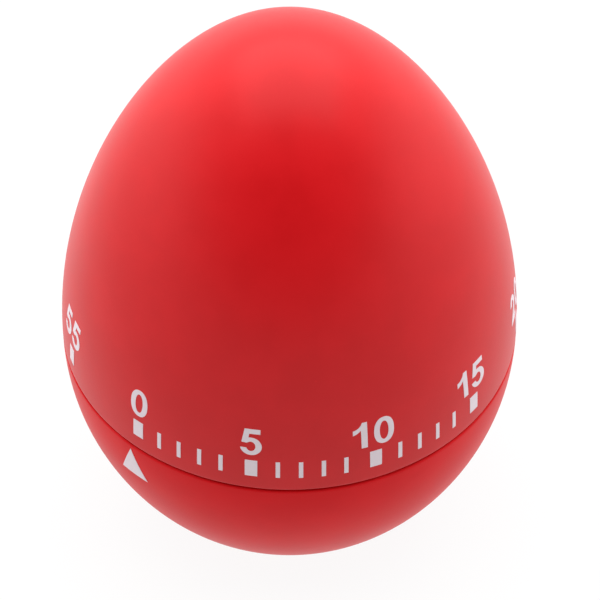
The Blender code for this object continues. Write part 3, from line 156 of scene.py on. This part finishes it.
# ---- Colours: a darker and a lighter shade of each, then its accent ----
DOME_RED = (0.590, 0.0052, 0.0081), (0.630, 0.0062, 0.0096)
# The base is the same red plastic as the dome. Its red is painted lighter than the dome's, as painted light
# that stands for the extra light the floor throws on the lower half; its shine is set lower so that the
# floor's reflection in it is weaker.
BASE_RED_PAINTED_LIGHTER = (0.660, 0.0058, 0.0092), (0.700, 0.0069, 0.0108)
RED_SPECK = (0.70, 0.011, 0.015)
DOME_SHINE = 0.22
BASE_SHINE = 0.07
INK = (0.74, 0.63, 0.68), (0.82, 0.72, 0.77)
INK_PINHOLE = (0.75, 0.30, 0.32)
NATURAL = (0.60, 0.58, 0.50), (0.69, 0.675, 0.61)
ZINC_SHEET = (0.42, 0.43, 0.45), (0.60, 0.61, 0.63)
ZINC_SHEET_EDGE = (0.78, 0.78, 0.79)
ZINC_ROD = (0.40, 0.40, 0.42), (0.62, 0.62, 0.64)
ZINC_ROD_EDGE = (0.80, 0.80, 0.80)
BRASS = (0.50, 0.33, 0.11), (0.80, 0.58, 0.23)
BRASS_EDGE = (0.92, 0.74, 0.38)
NICKEL = (0.55, 0.53, 0.49), (0.76, 0.74, 0.70)
NICKEL_EDGE = (0.86, 0.85, 0.82)
STRAW, VIOLET, BLUE = (0.20, 0.15, 0.11), (0.13, 0.10, 0.19), (0.07, 0.10, 0.22)
PAPER = (0.055, 0.055, 0.055), (0.07, 0.07, 0.07)


# ---- Shader maths ----
class Socket:
    """An output of a node, with arithmetic that adds Math nodes."""

    def __init__(self, tree, output):
        self.tree, self.output = tree, output

    def _math(self, operation, *values):
        return self.tree.node("ShaderNodeMath", {"operation": operation}, dict(enumerate(values)))

    def __add__(self, other):
        return self._math("ADD", self, other)

    def __sub__(self, other):
        return self._math("SUBTRACT", self, other)

    def __rsub__(self, other):
        return self._math("SUBTRACT", other, self)

    def __mul__(self, other):
        return self._math("MULTIPLY", self, other)

    __radd__ = __add__
    __rmul__ = __mul__

    def smooth(self, low, high):
        """0 below low, 1 above high, and a smooth step between."""
        values = {"Value": self, "From Min": low, "From Max": high}
        return self.tree.node("ShaderNodeMapRange", {"interpolation_type": "SMOOTHSTEP"}, values)


class Nodes:
    """A node tree that is being made."""

    def __init__(self, tree):
        self.nodes, self.links = tree.nodes, tree.links

    def set(self, node, socket, value):
        if isinstance(value, Socket):
            self.links.new(value.output, node.inputs[socket])
        else:
            node.inputs[socket].default_value = value

    def node(self, kind, settings=None, values=None, output=0):
        """Adds any node: its settings first, then its sockets' values or links."""
        made = self.nodes.new(kind)
        for name, value in (settings or {}).items():
            setattr(made, name, value)
        for socket, value in (values or {}).items():
            self.set(made, socket, value)
        return Socket(self, made.outputs[output])


class Finish(Nodes):
    """A material that is being made, with one Principled BSDF."""

    def __init__(self, name, **shader):
        self.material = bpy.data.materials.new(name)
        self.material.use_nodes = True
        super().__init__(self.material.node_tree)
        self.shader = self.nodes["Principled BSDF"]
        for socket, value in shader.items():
            self.set(self.shader, socket.replace("_", " "), value)

    def place(self, stretch=(1.0, 1.0, 1.0)):
        """The object's own coordinates in millimetres, stretched for a grain."""
        at = self.node("ShaderNodeTexCoord", output="Object")
        scale = tuple(1000.0 * s for s in stretch)
        return self.node("ShaderNodeVectorMath", {"operation": "MULTIPLY"}, {0: at, 1: scale})

    def noise(self, size, detail=3.0, stretch=(1.0, 1.0, 1.0), roughness=0.5):
        """Noise whose grains are about size millimetres across."""
        values = {"Vector": self.place(stretch), "Scale": 1.0 / size}
        values |= {"Detail": detail, "Roughness": roughness}
        return self.node("ShaderNodeTexNoise", None, values, output="Fac")

    def mix(self, factor, first, second):
        """A colour between two colours."""
        mixer = self.nodes.new("ShaderNodeMix")
        mixer.data_type = "RGBA"
        mixer.clamp_factor = True
        self.set(mixer, 0, factor)
        self.set(mixer, 6, first if isinstance(first, Socket) else (*first, 1.0))
        self.set(mixer, 7, second if isinstance(second, Socket) else (*second, 1.0))
        return Socket(self, mixer.outputs[2])

    def from_axis(self):
        """Distance from the object's own Z axis in millimetres."""
        level = {0: self.place(), 1: (1.0, 1.0, 0.0)}
        flat = self.node("ShaderNodeVectorMath", {"operation": "MULTIPLY"}, level)
        return self.node("ShaderNodeVectorMath", {"operation": "LENGTH"}, {0: flat}, output="Value")

    def wear(self, spread=0.12):
        """1 on outer edges and 0 elsewhere."""
        point = self.node("ShaderNodeNewGeometry", output="Pointiness")
        return point.smooth(0.5 + spread / 3, 0.5 + spread)

    def colour(self, value):
        self.set(self.shader, "Base Color", value)

    def rough(self, value):
        self.set(self.shader, "Roughness", value)

    def bump(self, height, distance, strength=1.0):
        values = {"Strength": strength, "Distance": distance, "Height": height}
        self.set(self.shader, "Normal", self.node("ShaderNodeBump", None, values, output="Normal"))
        return self.material


def soft_touch_red(name, shine, dark, light):
    """Red plastic with a fine matt coat, a faint mottle and slightly glossier rubbed patches."""
    made = Finish(name, Specular_IOR_Level=shine)
    mottle = made.noise(size=7.0, detail=4.0)
    cloud = made.noise(size=26.0, detail=2.0)
    speck = made.noise(size=0.35, detail=2.0)
    base = made.mix(mottle.smooth(0.35, 0.7), dark, light)
    made.colour(made.mix(speck.smooth(0.62, 0.8) * 0.35, base, RED_SPECK))
    made.rough(0.33 + 0.05 * mottle - 0.04 * cloud.smooth(0.5, 0.75) + 0.03 * speck)
    grain = made.noise(size=0.16, detail=4.0, roughness=0.65)
    return made.bump(grain + 0.5 * made.noise(size=0.6, detail=2.0), distance=0.000012, strength=0.55)


def printed_white():
    """Pad-printed white ink, slightly uneven, with the red showing through in pinholes."""
    made = Finish("printed_white", Specular_IOR_Level=0.4)
    pinholes = made.noise(size=0.14, detail=2.0).smooth(0.66, 0.78)
    cloud = made.noise(size=1.1, detail=3.0)
    base = made.mix(cloud, *INK)
    made.colour(made.mix(pinholes * 0.5, base, INK_PINHOLE))
    made.rough(0.42 + 0.14 * cloud)
    return made.bump(made.noise(size=0.12, detail=3.0), distance=0.000008, strength=0.5)


def natural_plastic():
    """Uncoloured moulded plastic, whose flow marks change its shade and its sheen."""
    made = Finish("natural_plastic", Specular_IOR_Level=0.45)
    flow = made.noise(size=5.0, detail=4.0, stretch=(1.0, 1.0, 0.3))
    made.colour(made.mix(flow.smooth(0.3, 0.75), *NATURAL))
    made.rough(0.38 + 0.2 * flow)
    return made.bump(made.noise(size=0.25, detail=3.0), distance=0.00001, strength=0.4)


def brushed(name, dark, light, rough, stretch, edge):
    """Rolled or brushed metal: a fine drawn grain, duller patches and bright rubbed edges."""
    made = Finish(name, Metallic=1.0)
    grain = made.noise(size=0.22, detail=3.0, stretch=stretch, roughness=0.6)
    patch = made.noise(size=3.2, detail=4.0)
    base = made.mix(patch.smooth(0.3, 0.7), dark, light)
    made.colour(made.mix(made.wear() * 0.7, base, edge))
    made.rough(rough + 0.16 * patch + 0.12 * grain - 0.06)
    return made.bump(grain, distance=0.000006, strength=0.5)


def turned_metal(name, dark, light, rough, pitch, edge):
    """Metal faced on a lathe: fine rings about the piece's middle, with stains between them."""
    made = Finish(name, Metallic=1.0)
    phase = made.from_axis() * (2 * math.pi / pitch)
    rings = made.node("ShaderNodeMath", {"operation": "SINE"}, {0: phase})
    stain = made.noise(size=2.4, detail=5.0)
    base = made.mix(stain.smooth(0.35, 0.72), light, dark)
    made.colour(made.mix(made.wear() * 0.6, base, edge))
    made.rough(rough + 0.18 * stain + 0.03 * rings)
    return made.bump(rings * 0.5 + made.noise(size=0.3, detail=3.0), distance=0.000005, strength=0.45)


def blued_spring():
    """Blued spring strip: heat colours run from straw through violet to blue."""
    made = Finish("blued_spring", Metallic=1.0)
    heat = made.noise(size=4.5, detail=3.0)
    cooler = made.mix(heat.smooth(0.25, 0.5), STRAW, VIOLET)
    made.colour(made.mix(heat.smooth(0.45, 0.7), cooler, BLUE))
    made.rough(0.24 + 0.2 * made.noise(size=0.5, detail=3.0, stretch=(1.0, 1.0, 5.0)))
    grain = made.noise(size=0.2, detail=2.0, stretch=(1.0, 1.0, 6.0))
    return made.bump(grain, distance=0.000005, strength=0.4)


# ---- Mesh helpers ----
def add_object(name, mesh):
    made = bpy.data.objects.new(name, mesh)
    bpy.context.scene.collection.objects.link(made)
    return made


def spaced(start, end, steps):
    return [start + (end - start) * i / steps for i in range(steps + 1)]


def polar(radius, angle, centre=(0.0, 0.0)):
    return (centre[0] + radius * math.cos(angle), centre[1] + radius * math.sin(angle))


def lathe(name, outline, steps=TURNS, at=(0.0, 0.0)):
    """A solid turned about the Z axis from (radius, height) points that run down its outer side."""
    form = bmesh.new()
    rings = []
    for radius, height in outline:
        if radius < TOUCHING:
            rings.append([form.verts.new((*at, height))])
            continue
        turns = [polar(radius, 2 * math.pi * i / steps, at) for i in range(steps)]
        rings.append([form.verts.new((x, y, height)) for x, y in turns])
    closed = len(rings[0]) > 1
    pairs = zip(rings, rings[1:] + rings[:1]) if closed else zip(rings, rings[1:])
    for upper, lower in pairs:
        for i in range(steps):
            corners = [
                upper[i % len(upper)],
                lower[i % len(lower)],
                lower[(i + 1) % len(lower)],
                upper[(i + 1) % len(upper)],
            ]
            form.faces.new(list(dict.fromkeys(corners)))
    bmesh.ops.recalc_face_normals(form, faces=form.faces)
    mesh = bpy.data.meshes.new(name)
    form.to_mesh(mesh)
    form.free()
    return add_object(name, mesh)


def post(name, radius, low, high, steps, at):
    """An upright cylinder, to join to a shell or to cut from it."""
    return lathe(name, [(0.0, high), (radius, high), (radius, low), (0.0, low)], steps, at)


def block(size, centre, angle):
    """A box-shaped cutter, turned about Z."""
    bpy.ops.mesh.primitive_cube_add(size=1.0, location=centre, rotation=(0.0, 0.0, angle))
    bpy.context.object.scale = size
    return bpy.context.object


def cut_or_join(piece, others, operation):
    """Cuts the other objects from a piece, or joins them to it, and removes them."""
    for other in others:
        change = piece.modifiers.new(operation, "BOOLEAN")
        change.operation = operation
        change.solver = "EXACT"
        change.object = other
        bpy.context.view_layer.update()
        graph = bpy.context.evaluated_depsgraph_get()
        mesh = bpy.data.meshes.new_from_object(piece.evaluated_get(graph))
        piece.modifiers.clear()
        piece.data = mesh
        bpy.data.objects.remove(other)


def finish_piece(piece, body, material, sharp=SOFT_ANGLE):
    """Shades a piece, gives it its material and sets it on its body."""
    piece.data.materials.clear()
    piece.data.materials.append(material)
    piece.data.name = piece.name
    piece.data.shade_smooth()
    piece.data.set_sharp_from_angle(angle=math.radians(sharp))
    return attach(piece, body)


# ---- The egg's outline ----
def outline_at(angle, upper):
    """(radius, height) and outward normal at an angle from the equator (0) to the tip or the foot."""
    semi_axis, taper = (TOP - EQUATOR, UPPER_TAPER) if upper else (-LOWER_SEMI_AXIS, LOWER_TAPER)
    sine, cosine = math.sin(angle), math.cos(angle)
    point = Vector((RADIUS * cosine * (1 - taper * sine**2), EQUATOR + semi_axis * sine))
    slope = -sine * (1 - taper * sine**2) - 2 * taper * sine * cosine**2
    normal = Vector((semi_axis * cosine, -RADIUS * slope)) * math.copysign(1.0, semi_axis)
    return point, normal.normalized()


def angle_at(height):
    upper = height >= EQUATOR
    semi_axis = TOP - EQUATOR if upper else LOWER_SEMI_AXIS
    return math.asin(min(1.0, abs(height - EQUATOR) / semi_axis)), upper


def egg_radius(height):
    return outline_at(*angle_at(height))[0].x


def egg_normal(height):
    return outline_at(*angle_at(height))[1]


def wall_radius(height):
    """Radius of the wall's inner face at a height."""
    angle, upper = angle_at(height)
    semi_axis = TOP - EQUATOR if upper else -LOWER_SEMI_AXIS
    for _ in range(16):
        point, normal = outline_at(angle, upper)
        angle += (height - (point - normal * WALL).y) / semi_axis
    return (point - normal * WALL).x


def rounded(corner, before, after, radius, steps=6):
    """Points of a rounded corner between the directions to the points before and after it."""
    corner, before, after = Vector(corner), Vector(before), Vector(after)
    start = corner + (before - corner).normalized() * radius
    end = corner + (after - corner).normalized() * radius
    points = []
    for share in spaced(0.0, 1.0, steps):
        near, far = start.lerp(corner, share), corner.lerp(end, share)
        points.append(tuple(near.lerp(far, share)))
    return points


# ---- Shells ----
def dome():
    """The upper shell, with rounded rim edges and the bosses for the carrier's screws inside."""
    rim_angle, _ = angle_at(UPPER_RIM + 2 * RIM_ROUND)
    angles = spaced(math.pi / 2, rim_angle, OUTLINE_STEPS)
    outer = [outline_at(a, True)[0] for a in angles]
    outer[0].x = 0.0
    inner = [p - n * WALL for p, n in (outline_at(a, True) for a in reversed(angles[::2]))]
    inner[-1].x = 0.0
    outside, inside = (egg_radius(UPPER_RIM), UPPER_RIM), (wall_radius(UPPER_RIM), UPPER_RIM)
    rim = rounded(outside, outer[-1], inside, RIM_ROUND)
    rim += rounded(inside, outside, inner[0], RIM_ROUND / 2)
    shell = lathe("dome_shell", [tuple(p) for p in outer] + rim + [tuple(p) for p in inner])
    bosses, pilots = [], []
    for number in (1, 2, 3):
        low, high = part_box(f"carrier_screw_{number}")
        at = ((low.x + high.x) / 2, (low.y + high.y) / 2)
        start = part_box("dial_carrier")[1].z - CARRIER_HUB_RISE + SCREW_CLEARANCE
        bosses.append(post("boss", DOME_BOSS, start, start + DOME_BOSS_HEIGHT, SCREW_TURNS, at))
        pilots.append(post("pilot", DOME_PILOT, low.z, high.z + SCREW_CLEARANCE, BORE_TURNS, at))
    cut_or_join(shell, bosses, "UNION")
    cut_or_join(shell, pilots, "DIFFERENCE")
    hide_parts("upper_shell")
    return shell


def base():
    """The lower shell, with its spigot, a softened foot, screw wells and slots for the bell's sound."""
    rim_angle, rim_is_upper = angle_at(LOWER_RIM - 2 * RIM_ROUND)
    foot_angle, _ = angle_at(FOOT_ROUND)
    start = -rim_angle if rim_is_upper else rim_angle
    outer = []
    for angle in spaced(start, foot_angle, OUTLINE_STEPS):
        outer.append(tuple(outline_at(abs(angle), angle < 0)[0]))
    foot_corner = (egg_radius(0.0), 0.0)
    foot_inside = (foot_corner[0] - FOOT_RIM, 0.0)
    foot = rounded(foot_corner, outer[-1], foot_inside, FOOT_ROUND)
    step = (foot_inside[0] - FOOT_RECESS, FOOT_RECESS)
    foot += rounded(foot_inside, foot_corner, step, FOOT_RECESS / 2, 3) + [step, (0.0, FOOT_RECESS)]
    inner = [(0.0, FLOOR)] + [(wall_radius(z), z) for z in spaced(FLOOR, INSIDE_TOP, INSIDE_STEPS)]
    spigot_root, spigot_foot = (SPIGOT_INNER, SPIGOT_ROOT), (SPIGOT_RADIUS, LOWER_RIM)
    spigot_inside, spigot_outside = (SPIGOT_INNER, SPIGOT_TOP), (SPIGOT_RADIUS, SPIGOT_TOP)
    spigot = [spigot_root] + rounded(spigot_inside, spigot_root, spigot_outside, RIM_ROUND)
    spigot += rounded(spigot_outside, spigot_inside, spigot_foot, RIM_ROUND)
    rim_corner = (egg_radius(LOWER_RIM), LOWER_RIM)
    rim = [spigot_foot] + rounded(rim_corner, spigot_foot, outer[0], RIM_ROUND)
    shell = lathe("base_shell", inner + spigot + rim + outer + foot)
    bosses, wells, slots = [], [], []
    for number in (1, 2, 3):
        low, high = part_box(f"case_screw_{number}")
        at = ((low.x + high.x) / 2, (low.y + high.y) / 2)
        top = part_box("lower_plate")[0].z - SCREW_CLEARANCE
        bosses.append(post("boss", SCREW_BOSS, FLOOR - SCREW_BOSS_SINK, top, BOSS_TURNS, at))
        head = (high.x - low.x) / 2 + SCREW_CLEARANCE
        wells.append(post("well", head, -WALL, SCREW_LEDGE, SCREW_TURNS, at))
        wells.append(post("bore", SCREW_BORE, FLOOR - WALL, top + WALL, BORE_TURNS, at))
        middle = math.atan2(at[1], at[0]) + math.pi / 3
        for turn in (middle - SLOT_SPREAD, middle + SLOT_SPREAD):
            x, y = polar(SLOT_START + SLOT_LENGTH / 2, turn)
            slots.append(block((SLOT_LENGTH, SLOT_WIDTH, 3 * FLOOR), (x, y, FLOOR / 2), turn))
    cut_or_join(shell, bosses, "UNION")
    cut_or_join(shell, wells + slots, "DIFFERENCE")
    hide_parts("lower_shell")
    return shell


# ---- Printing ----
def arc(centre, radii, start, end, steps=14):
    """Points on an ellipse about centre, from one angle to another in degrees."""
    return [
        (centre[0] + radii[0] * math.cos(math.radians(a)), centre[1] + radii[1] * math.sin(math.radians(a)))
        for a in spaced(start, end, steps)
    ]


def oval(centre, radii, power, steps=48):
    """A ring that is squarer than an ellipse for a power over 2."""
    points = []
    for a in spaced(0.0, 2 * math.pi, steps)[:-1]:
        x, y = math.cos(a), math.sin(a)
        reach = [math.copysign(abs(v) ** (2 / power), v) * r for v, r in ((x, radii[0]), (y, radii[1]))]
        points.append((centre[0] + reach[0], centre[1] + reach[1]))
    return points


def rectangle(width, low, high):
    return [(-width / 2, low), (width / 2, low), (width / 2, high), (-width / 2, high)]


# Each digit's width and its outlines, in units of its height.
# The first outline is the edge, and the rest are holes.
DIGITS = {
    "0": (0.655, [oval((0.3275, 0.5), (0.3275, 0.51), 2.25), oval((0.3275, 0.5), (0.145, 0.36), 2.1)]),
    "1": (
        0.456,
        [
            [(0.262, 0.0), (0.456, 0.0), (0.456, 1.0), (0.298, 1.0)]
            + arc((-0.03, 1.06), (0.33, 0.315), -17, -84, 6)
            + [(0.0, 0.572)]
            + arc((-0.08, 1.06), (0.45, 0.5), -80, -42, 5)
        ],
    ),
    "2": (
        0.655,
        [
            [(0.0, 0.0), (0.65, 0.0), (0.65, 0.178), (0.285, 0.178)]
            + [(0.42, 0.31), (0.55, 0.435)]
            + arc((0.33, 0.7), (0.305, 0.31), -32, 172, 20)
            + [(0.215, 0.722)]
            + arc((0.33, 0.7), (0.115, 0.15), 170, -28, 14)
            + [(0.35, 0.5), (0.13, 0.28)]
            + arc((0.24, 0.0), (0.24, 0.28), 118, 176, 5)
        ],
    ),
    "3": (
        0.65,
        [
            arc((0.315, 0.29), (0.325, 0.302), -172, 48, 22)
            + [(0.5, 0.53)]
            + arc((0.315, 0.745), (0.275, 0.268), -42, 166, 18)
            + [(0.235, 0.765)]
            + arc((0.315, 0.745), (0.095, 0.118), 165, -75, 12)
            + [(0.225, 0.622), (0.245, 0.462)]
            + arc((0.315, 0.295), (0.13, 0.168), 105, -168, 16)
        ],
    ),
    "4": (
        0.7,
        [
            [(0.405, 0.0), (0.59, 0.0), (0.59, 0.205), (0.7, 0.205), (0.7, 0.362), (0.59, 0.362)]
            + [(0.59, 1.0), (0.43, 1.0), (0.0, 0.365), (0.0, 0.205), (0.405, 0.205)],
            [(0.405, 0.362), (0.165, 0.362), (0.405, 0.715)],
        ],
    ),
    "5": (
        0.645,
        [
            [(0.595, 1.0), (0.115, 1.0), (0.022, 0.482), (0.178, 0.462)]
            + arc((0.31, 0.333), (0.142, 0.19), 125, -160, 18)
            + [(0.0, 0.27)]
            + arc((0.31, 0.333), (0.335, 0.345), -165, 103, 26)
            + [(0.258, 0.825), (0.595, 0.825)]
        ],
    ),
}


def flat_print(outlines):
    """A flat mesh that fills closed outlines in the plane of the print."""
    curve = bpy.data.curves.new("print", "CURVE")
    curve.dimensions = "2D"
    curve.fill_mode = "BOTH"
    for outline in outlines:
        spline = curve.splines.new("POLY")
        spline.points.add(len(outline) - 1)
        for point, (x, y) in zip(spline.points, outline):
            point.co = (x, y, 0.0, 1.0)
        spline.use_cyclic_u = True
    holder = add_object("print", curve)
    bpy.context.view_layer.update()
    graph = bpy.context.evaluated_depsgraph_get()
    mesh = bpy.data.meshes.new_from_object(holder.evaluated_get(graph))
    bpy.data.objects.remove(holder)
    return mesh


def wrapped(name, outlines, angle, body, material):
    """Prints outlines of (along, height) on the egg: along runs round it from angle, both in metres."""
    form = bmesh.new()
    for outline in outlines:
        form.from_mesh(flat_print(outline))
    bmesh.ops.remove_doubles(form, verts=form.verts, dist=TOUCHING)
    for axis in (0, 1):
        values = [v.co[axis] for v in form.verts]
        first, last = math.floor(min(values) / INK_CELL), math.ceil(max(values) / INK_CELL)
        for line in range(first, last + 1):
            centre, normal = Vector(), Vector()
            centre[axis], normal[axis] = line * INK_CELL, 1.0
            everything = form.verts[:] + form.edges[:] + form.faces[:]
            bmesh.ops.bisect_plane(form, geom=everything, dist=1e-8, plane_co=centre, plane_no=normal)
    edge = bmesh.ops.extrude_face_region(form, geom=form.faces[:])["geom"]
    raised = {v for v in edge if isinstance(v, bmesh.types.BMVert)}
    for vertex in form.verts:
        along, height = vertex.co.x, vertex.co.y
        normal = egg_normal(height)
        lift = INK_PROUD if vertex in raised else -INK_SUNK
        radius = egg_radius(height) + normal.x * lift
        turn = angle + along / egg_radius(height)
        vertex.co = (*polar(radius, turn), height + normal.y * lift)
    bmesh.ops.recalc_face_normals(form, faces=form.faces)
    mesh = bpy.data.meshes.new(name)
    form.to_mesh(mesh)
    form.free()
    return finish_piece(add_object(name, mesh), body, material, PRINT_ANGLE)


def number_outlines(text):
    """Outlines of a number, centred over its mark."""
    made = []
    for place, digit in enumerate(text):
        width, outlines = DIGITS[digit]
        left = (place - len(text) / 2) * DIGIT_ADVANCE + (DIGIT_ADVANCE - width * DIGIT_HEIGHT) / 2
        left += (len(text) - 1) * TENS_SHIFT
        for_digit = []
        for outline in outlines:
            for_digit.append([(left + x * DIGIT_HEIGHT, NUMBER_LOW + y * DIGIT_HEIGHT) for x, y in outline])
        made.append(for_digit)
    return made


def printed_scale(ink):
    """Twelve broad marks with numbers, and fine ticks for the first quarter of an hour."""
    square = [rectangle(SQUARE_WIDTH, MARK_LOW, MARK_HIGH)]
    tick = [rectangle(TICK_WIDTH, MARK_LOW, MARK_HIGH)]
    for minutes in range(0, 60, 5):
        at = ZERO_ANGLE + minutes * MINUTE
        wrapped(f"mark_{minutes:02d}", [square], at, "dial", ink)
        wrapped(f"number_{minutes:02d}", number_outlines(str(minutes)), at, "dial", ink)
        if minutes < LAST_TICKED:
            for number, step in enumerate(TICK_STEPS, 1):
                wrapped(f"tick_{minutes + number:02d}", [tick], at + step * MINUTE, "dial", ink)
    half = POINTER_WIDTH / 2
    triangle = [(-half, POINTER_BASE), (half, POINTER_BASE), (0.0, POINTER_TIP)]
    wrapped("pointer", [[triangle]], POINTER_ANGLE, "case", ink)


# ---- Finishes of the mechanism ----
def finish_mechanism():
    """Gives each inner piece the finish of its stock."""
    plate = brushed("zinc_sheet", *ZINC_SHEET, rough=0.32, stretch=(0.08, 1.0, 1.0), edge=ZINC_SHEET_EDGE)
    stock = {
        "natural_plastic": natural_plastic(),
        "steel": turned_metal("zinc_rod", *ZINC_ROD, rough=0.26, pitch=0.09, edge=ZINC_ROD_EDGE),
        "spring_steel": blued_spring(),
        "brass": turned_metal("wheel_brass", *BRASS, rough=0.24, pitch=0.12, edge=BRASS_EDGE),
        "nickel": turned_metal("bell_nickel", *NICKEL, rough=0.10, pitch=0.35, edge=NICKEL_EDGE),
    }
    sheet = {"lower_plate", "upper_plate", "spring_housing", "hammer_arm", "hammer_tail", "pallet_lever"}
    for part in frame["record"]["subparts"]:
        name, slot = part["node"], part["material_slot"]
        if slot in stock:
            materials = frame["nodes"][name].data.materials
            materials.clear()
            materials.append(plate if name in sheet else stock[slot])


# ---- Studio ----
def aim(thing, target):
    thing.rotation_euler = (Vector(target) - thing.location).to_track_quat("-Z", "Y").to_euler()


def camera():
    centre = Vector((0.0, 0.0, SEAM))
    across = math.cos(CAMERA_ELEVATION)
    away = Vector(
        (across * math.sin(CAMERA_AZIMUTH), -across * math.cos(CAMERA_AZIMUTH), math.sin(CAMERA_ELEVATION))
    )
    lens = bpy.data.cameras.new("camera")
    lens.lens = CAMERA_LENS
    lens.sensor_width = CAMERA_SENSOR
    lens.shift_x, lens.shift_y = CAMERA_SHIFT
    lens.clip_start, lens.clip_end = CAMERA_CLIP
    made = add_object("camera", lens)
    made.location = centre + away * CAMERA_DISTANCE
    aim(made, centre)
    bpy.context.scene.camera = made
    return away


def soft_light(name, at, size, watts):
    light = bpy.data.lights.new(name, "AREA")
    light.shape = "RECTANGLE"
    light.size, light.size_y = size
    light.energy = watts
    made = add_object(name, light)
    made.location = at
    aim(made, (0.0, 0.0, TOP / 2))


def studio():
    """A pale floor, a broad soft light overhead and a white tent round them."""
    away = camera()
    forward = Vector((away.x, away.y, 0.0)).normalized()
    bpy.ops.mesh.primitive_plane_add(size=TABLE_SIZE)
    floor = bpy.context.object
    floor.name = "floor"
    paper = Finish("lit_paper", Specular_IOR_Level=0.1, Roughness=0.9, Emission_Strength=TABLE_GLOW)
    paper.set(paper.shader, "Emission Color", WHITE)
    paper.colour(paper.mix(paper.noise(size=60.0, detail=2.0), *PAPER))
    floor.data.materials.append(paper.bump(paper.noise(size=0.5, detail=2.0), distance=0.00001, strength=0.3))
    overhead = -forward * OVERHEAD_BACK + Vector((0.0, 0.0, OVERHEAD_HEIGHT))
    soft_light("overhead", overhead, OVERHEAD_SIZE, OVERHEAD_WATTS)
    surround(away)
    bpy.context.scene.view_settings.view_transform = "Standard"


def surround(away):
    """A white tent round the timer, which is dark where it opens towards the camera."""
    world = bpy.data.worlds.new("light_tent")
    world.use_nodes = True
    bpy.context.scene.world = world
    tent = Nodes(world.node_tree)
    direction = tent.node("ShaderNodeTexCoord", output="Generated")
    settings, values = {"operation": "DOT_PRODUCT"}, {0: direction, 1: away}
    opening = tent.node("ShaderNodeVectorMath", settings, values, output="Value").smooth(*TENT_OPENING)
    strength = TENT_BRIGHT - opening * (TENT_BRIGHT - TENT_DARK)
    background = tent.nodes["Background"]
    tent.set(background, "Color", WHITE)
    tent.set(background, "Strength", strength)


studio()
for shell, body, red in (
    (dome(), "dial", soft_touch_red("dome_red", DOME_SHINE, *DOME_RED)),
    # The base's red is painted lighter than the dome's: painted light from the floor on the same plastic.
    (base(), "case", soft_touch_red("base_red_painted_lighter", BASE_SHINE, *BASE_RED_PAINTED_LIGHTER)),
):
    finish_piece(shell, body, red)
printed_scale(printed_white())
finish_mechanism()

bpy.context.view_layer.update()
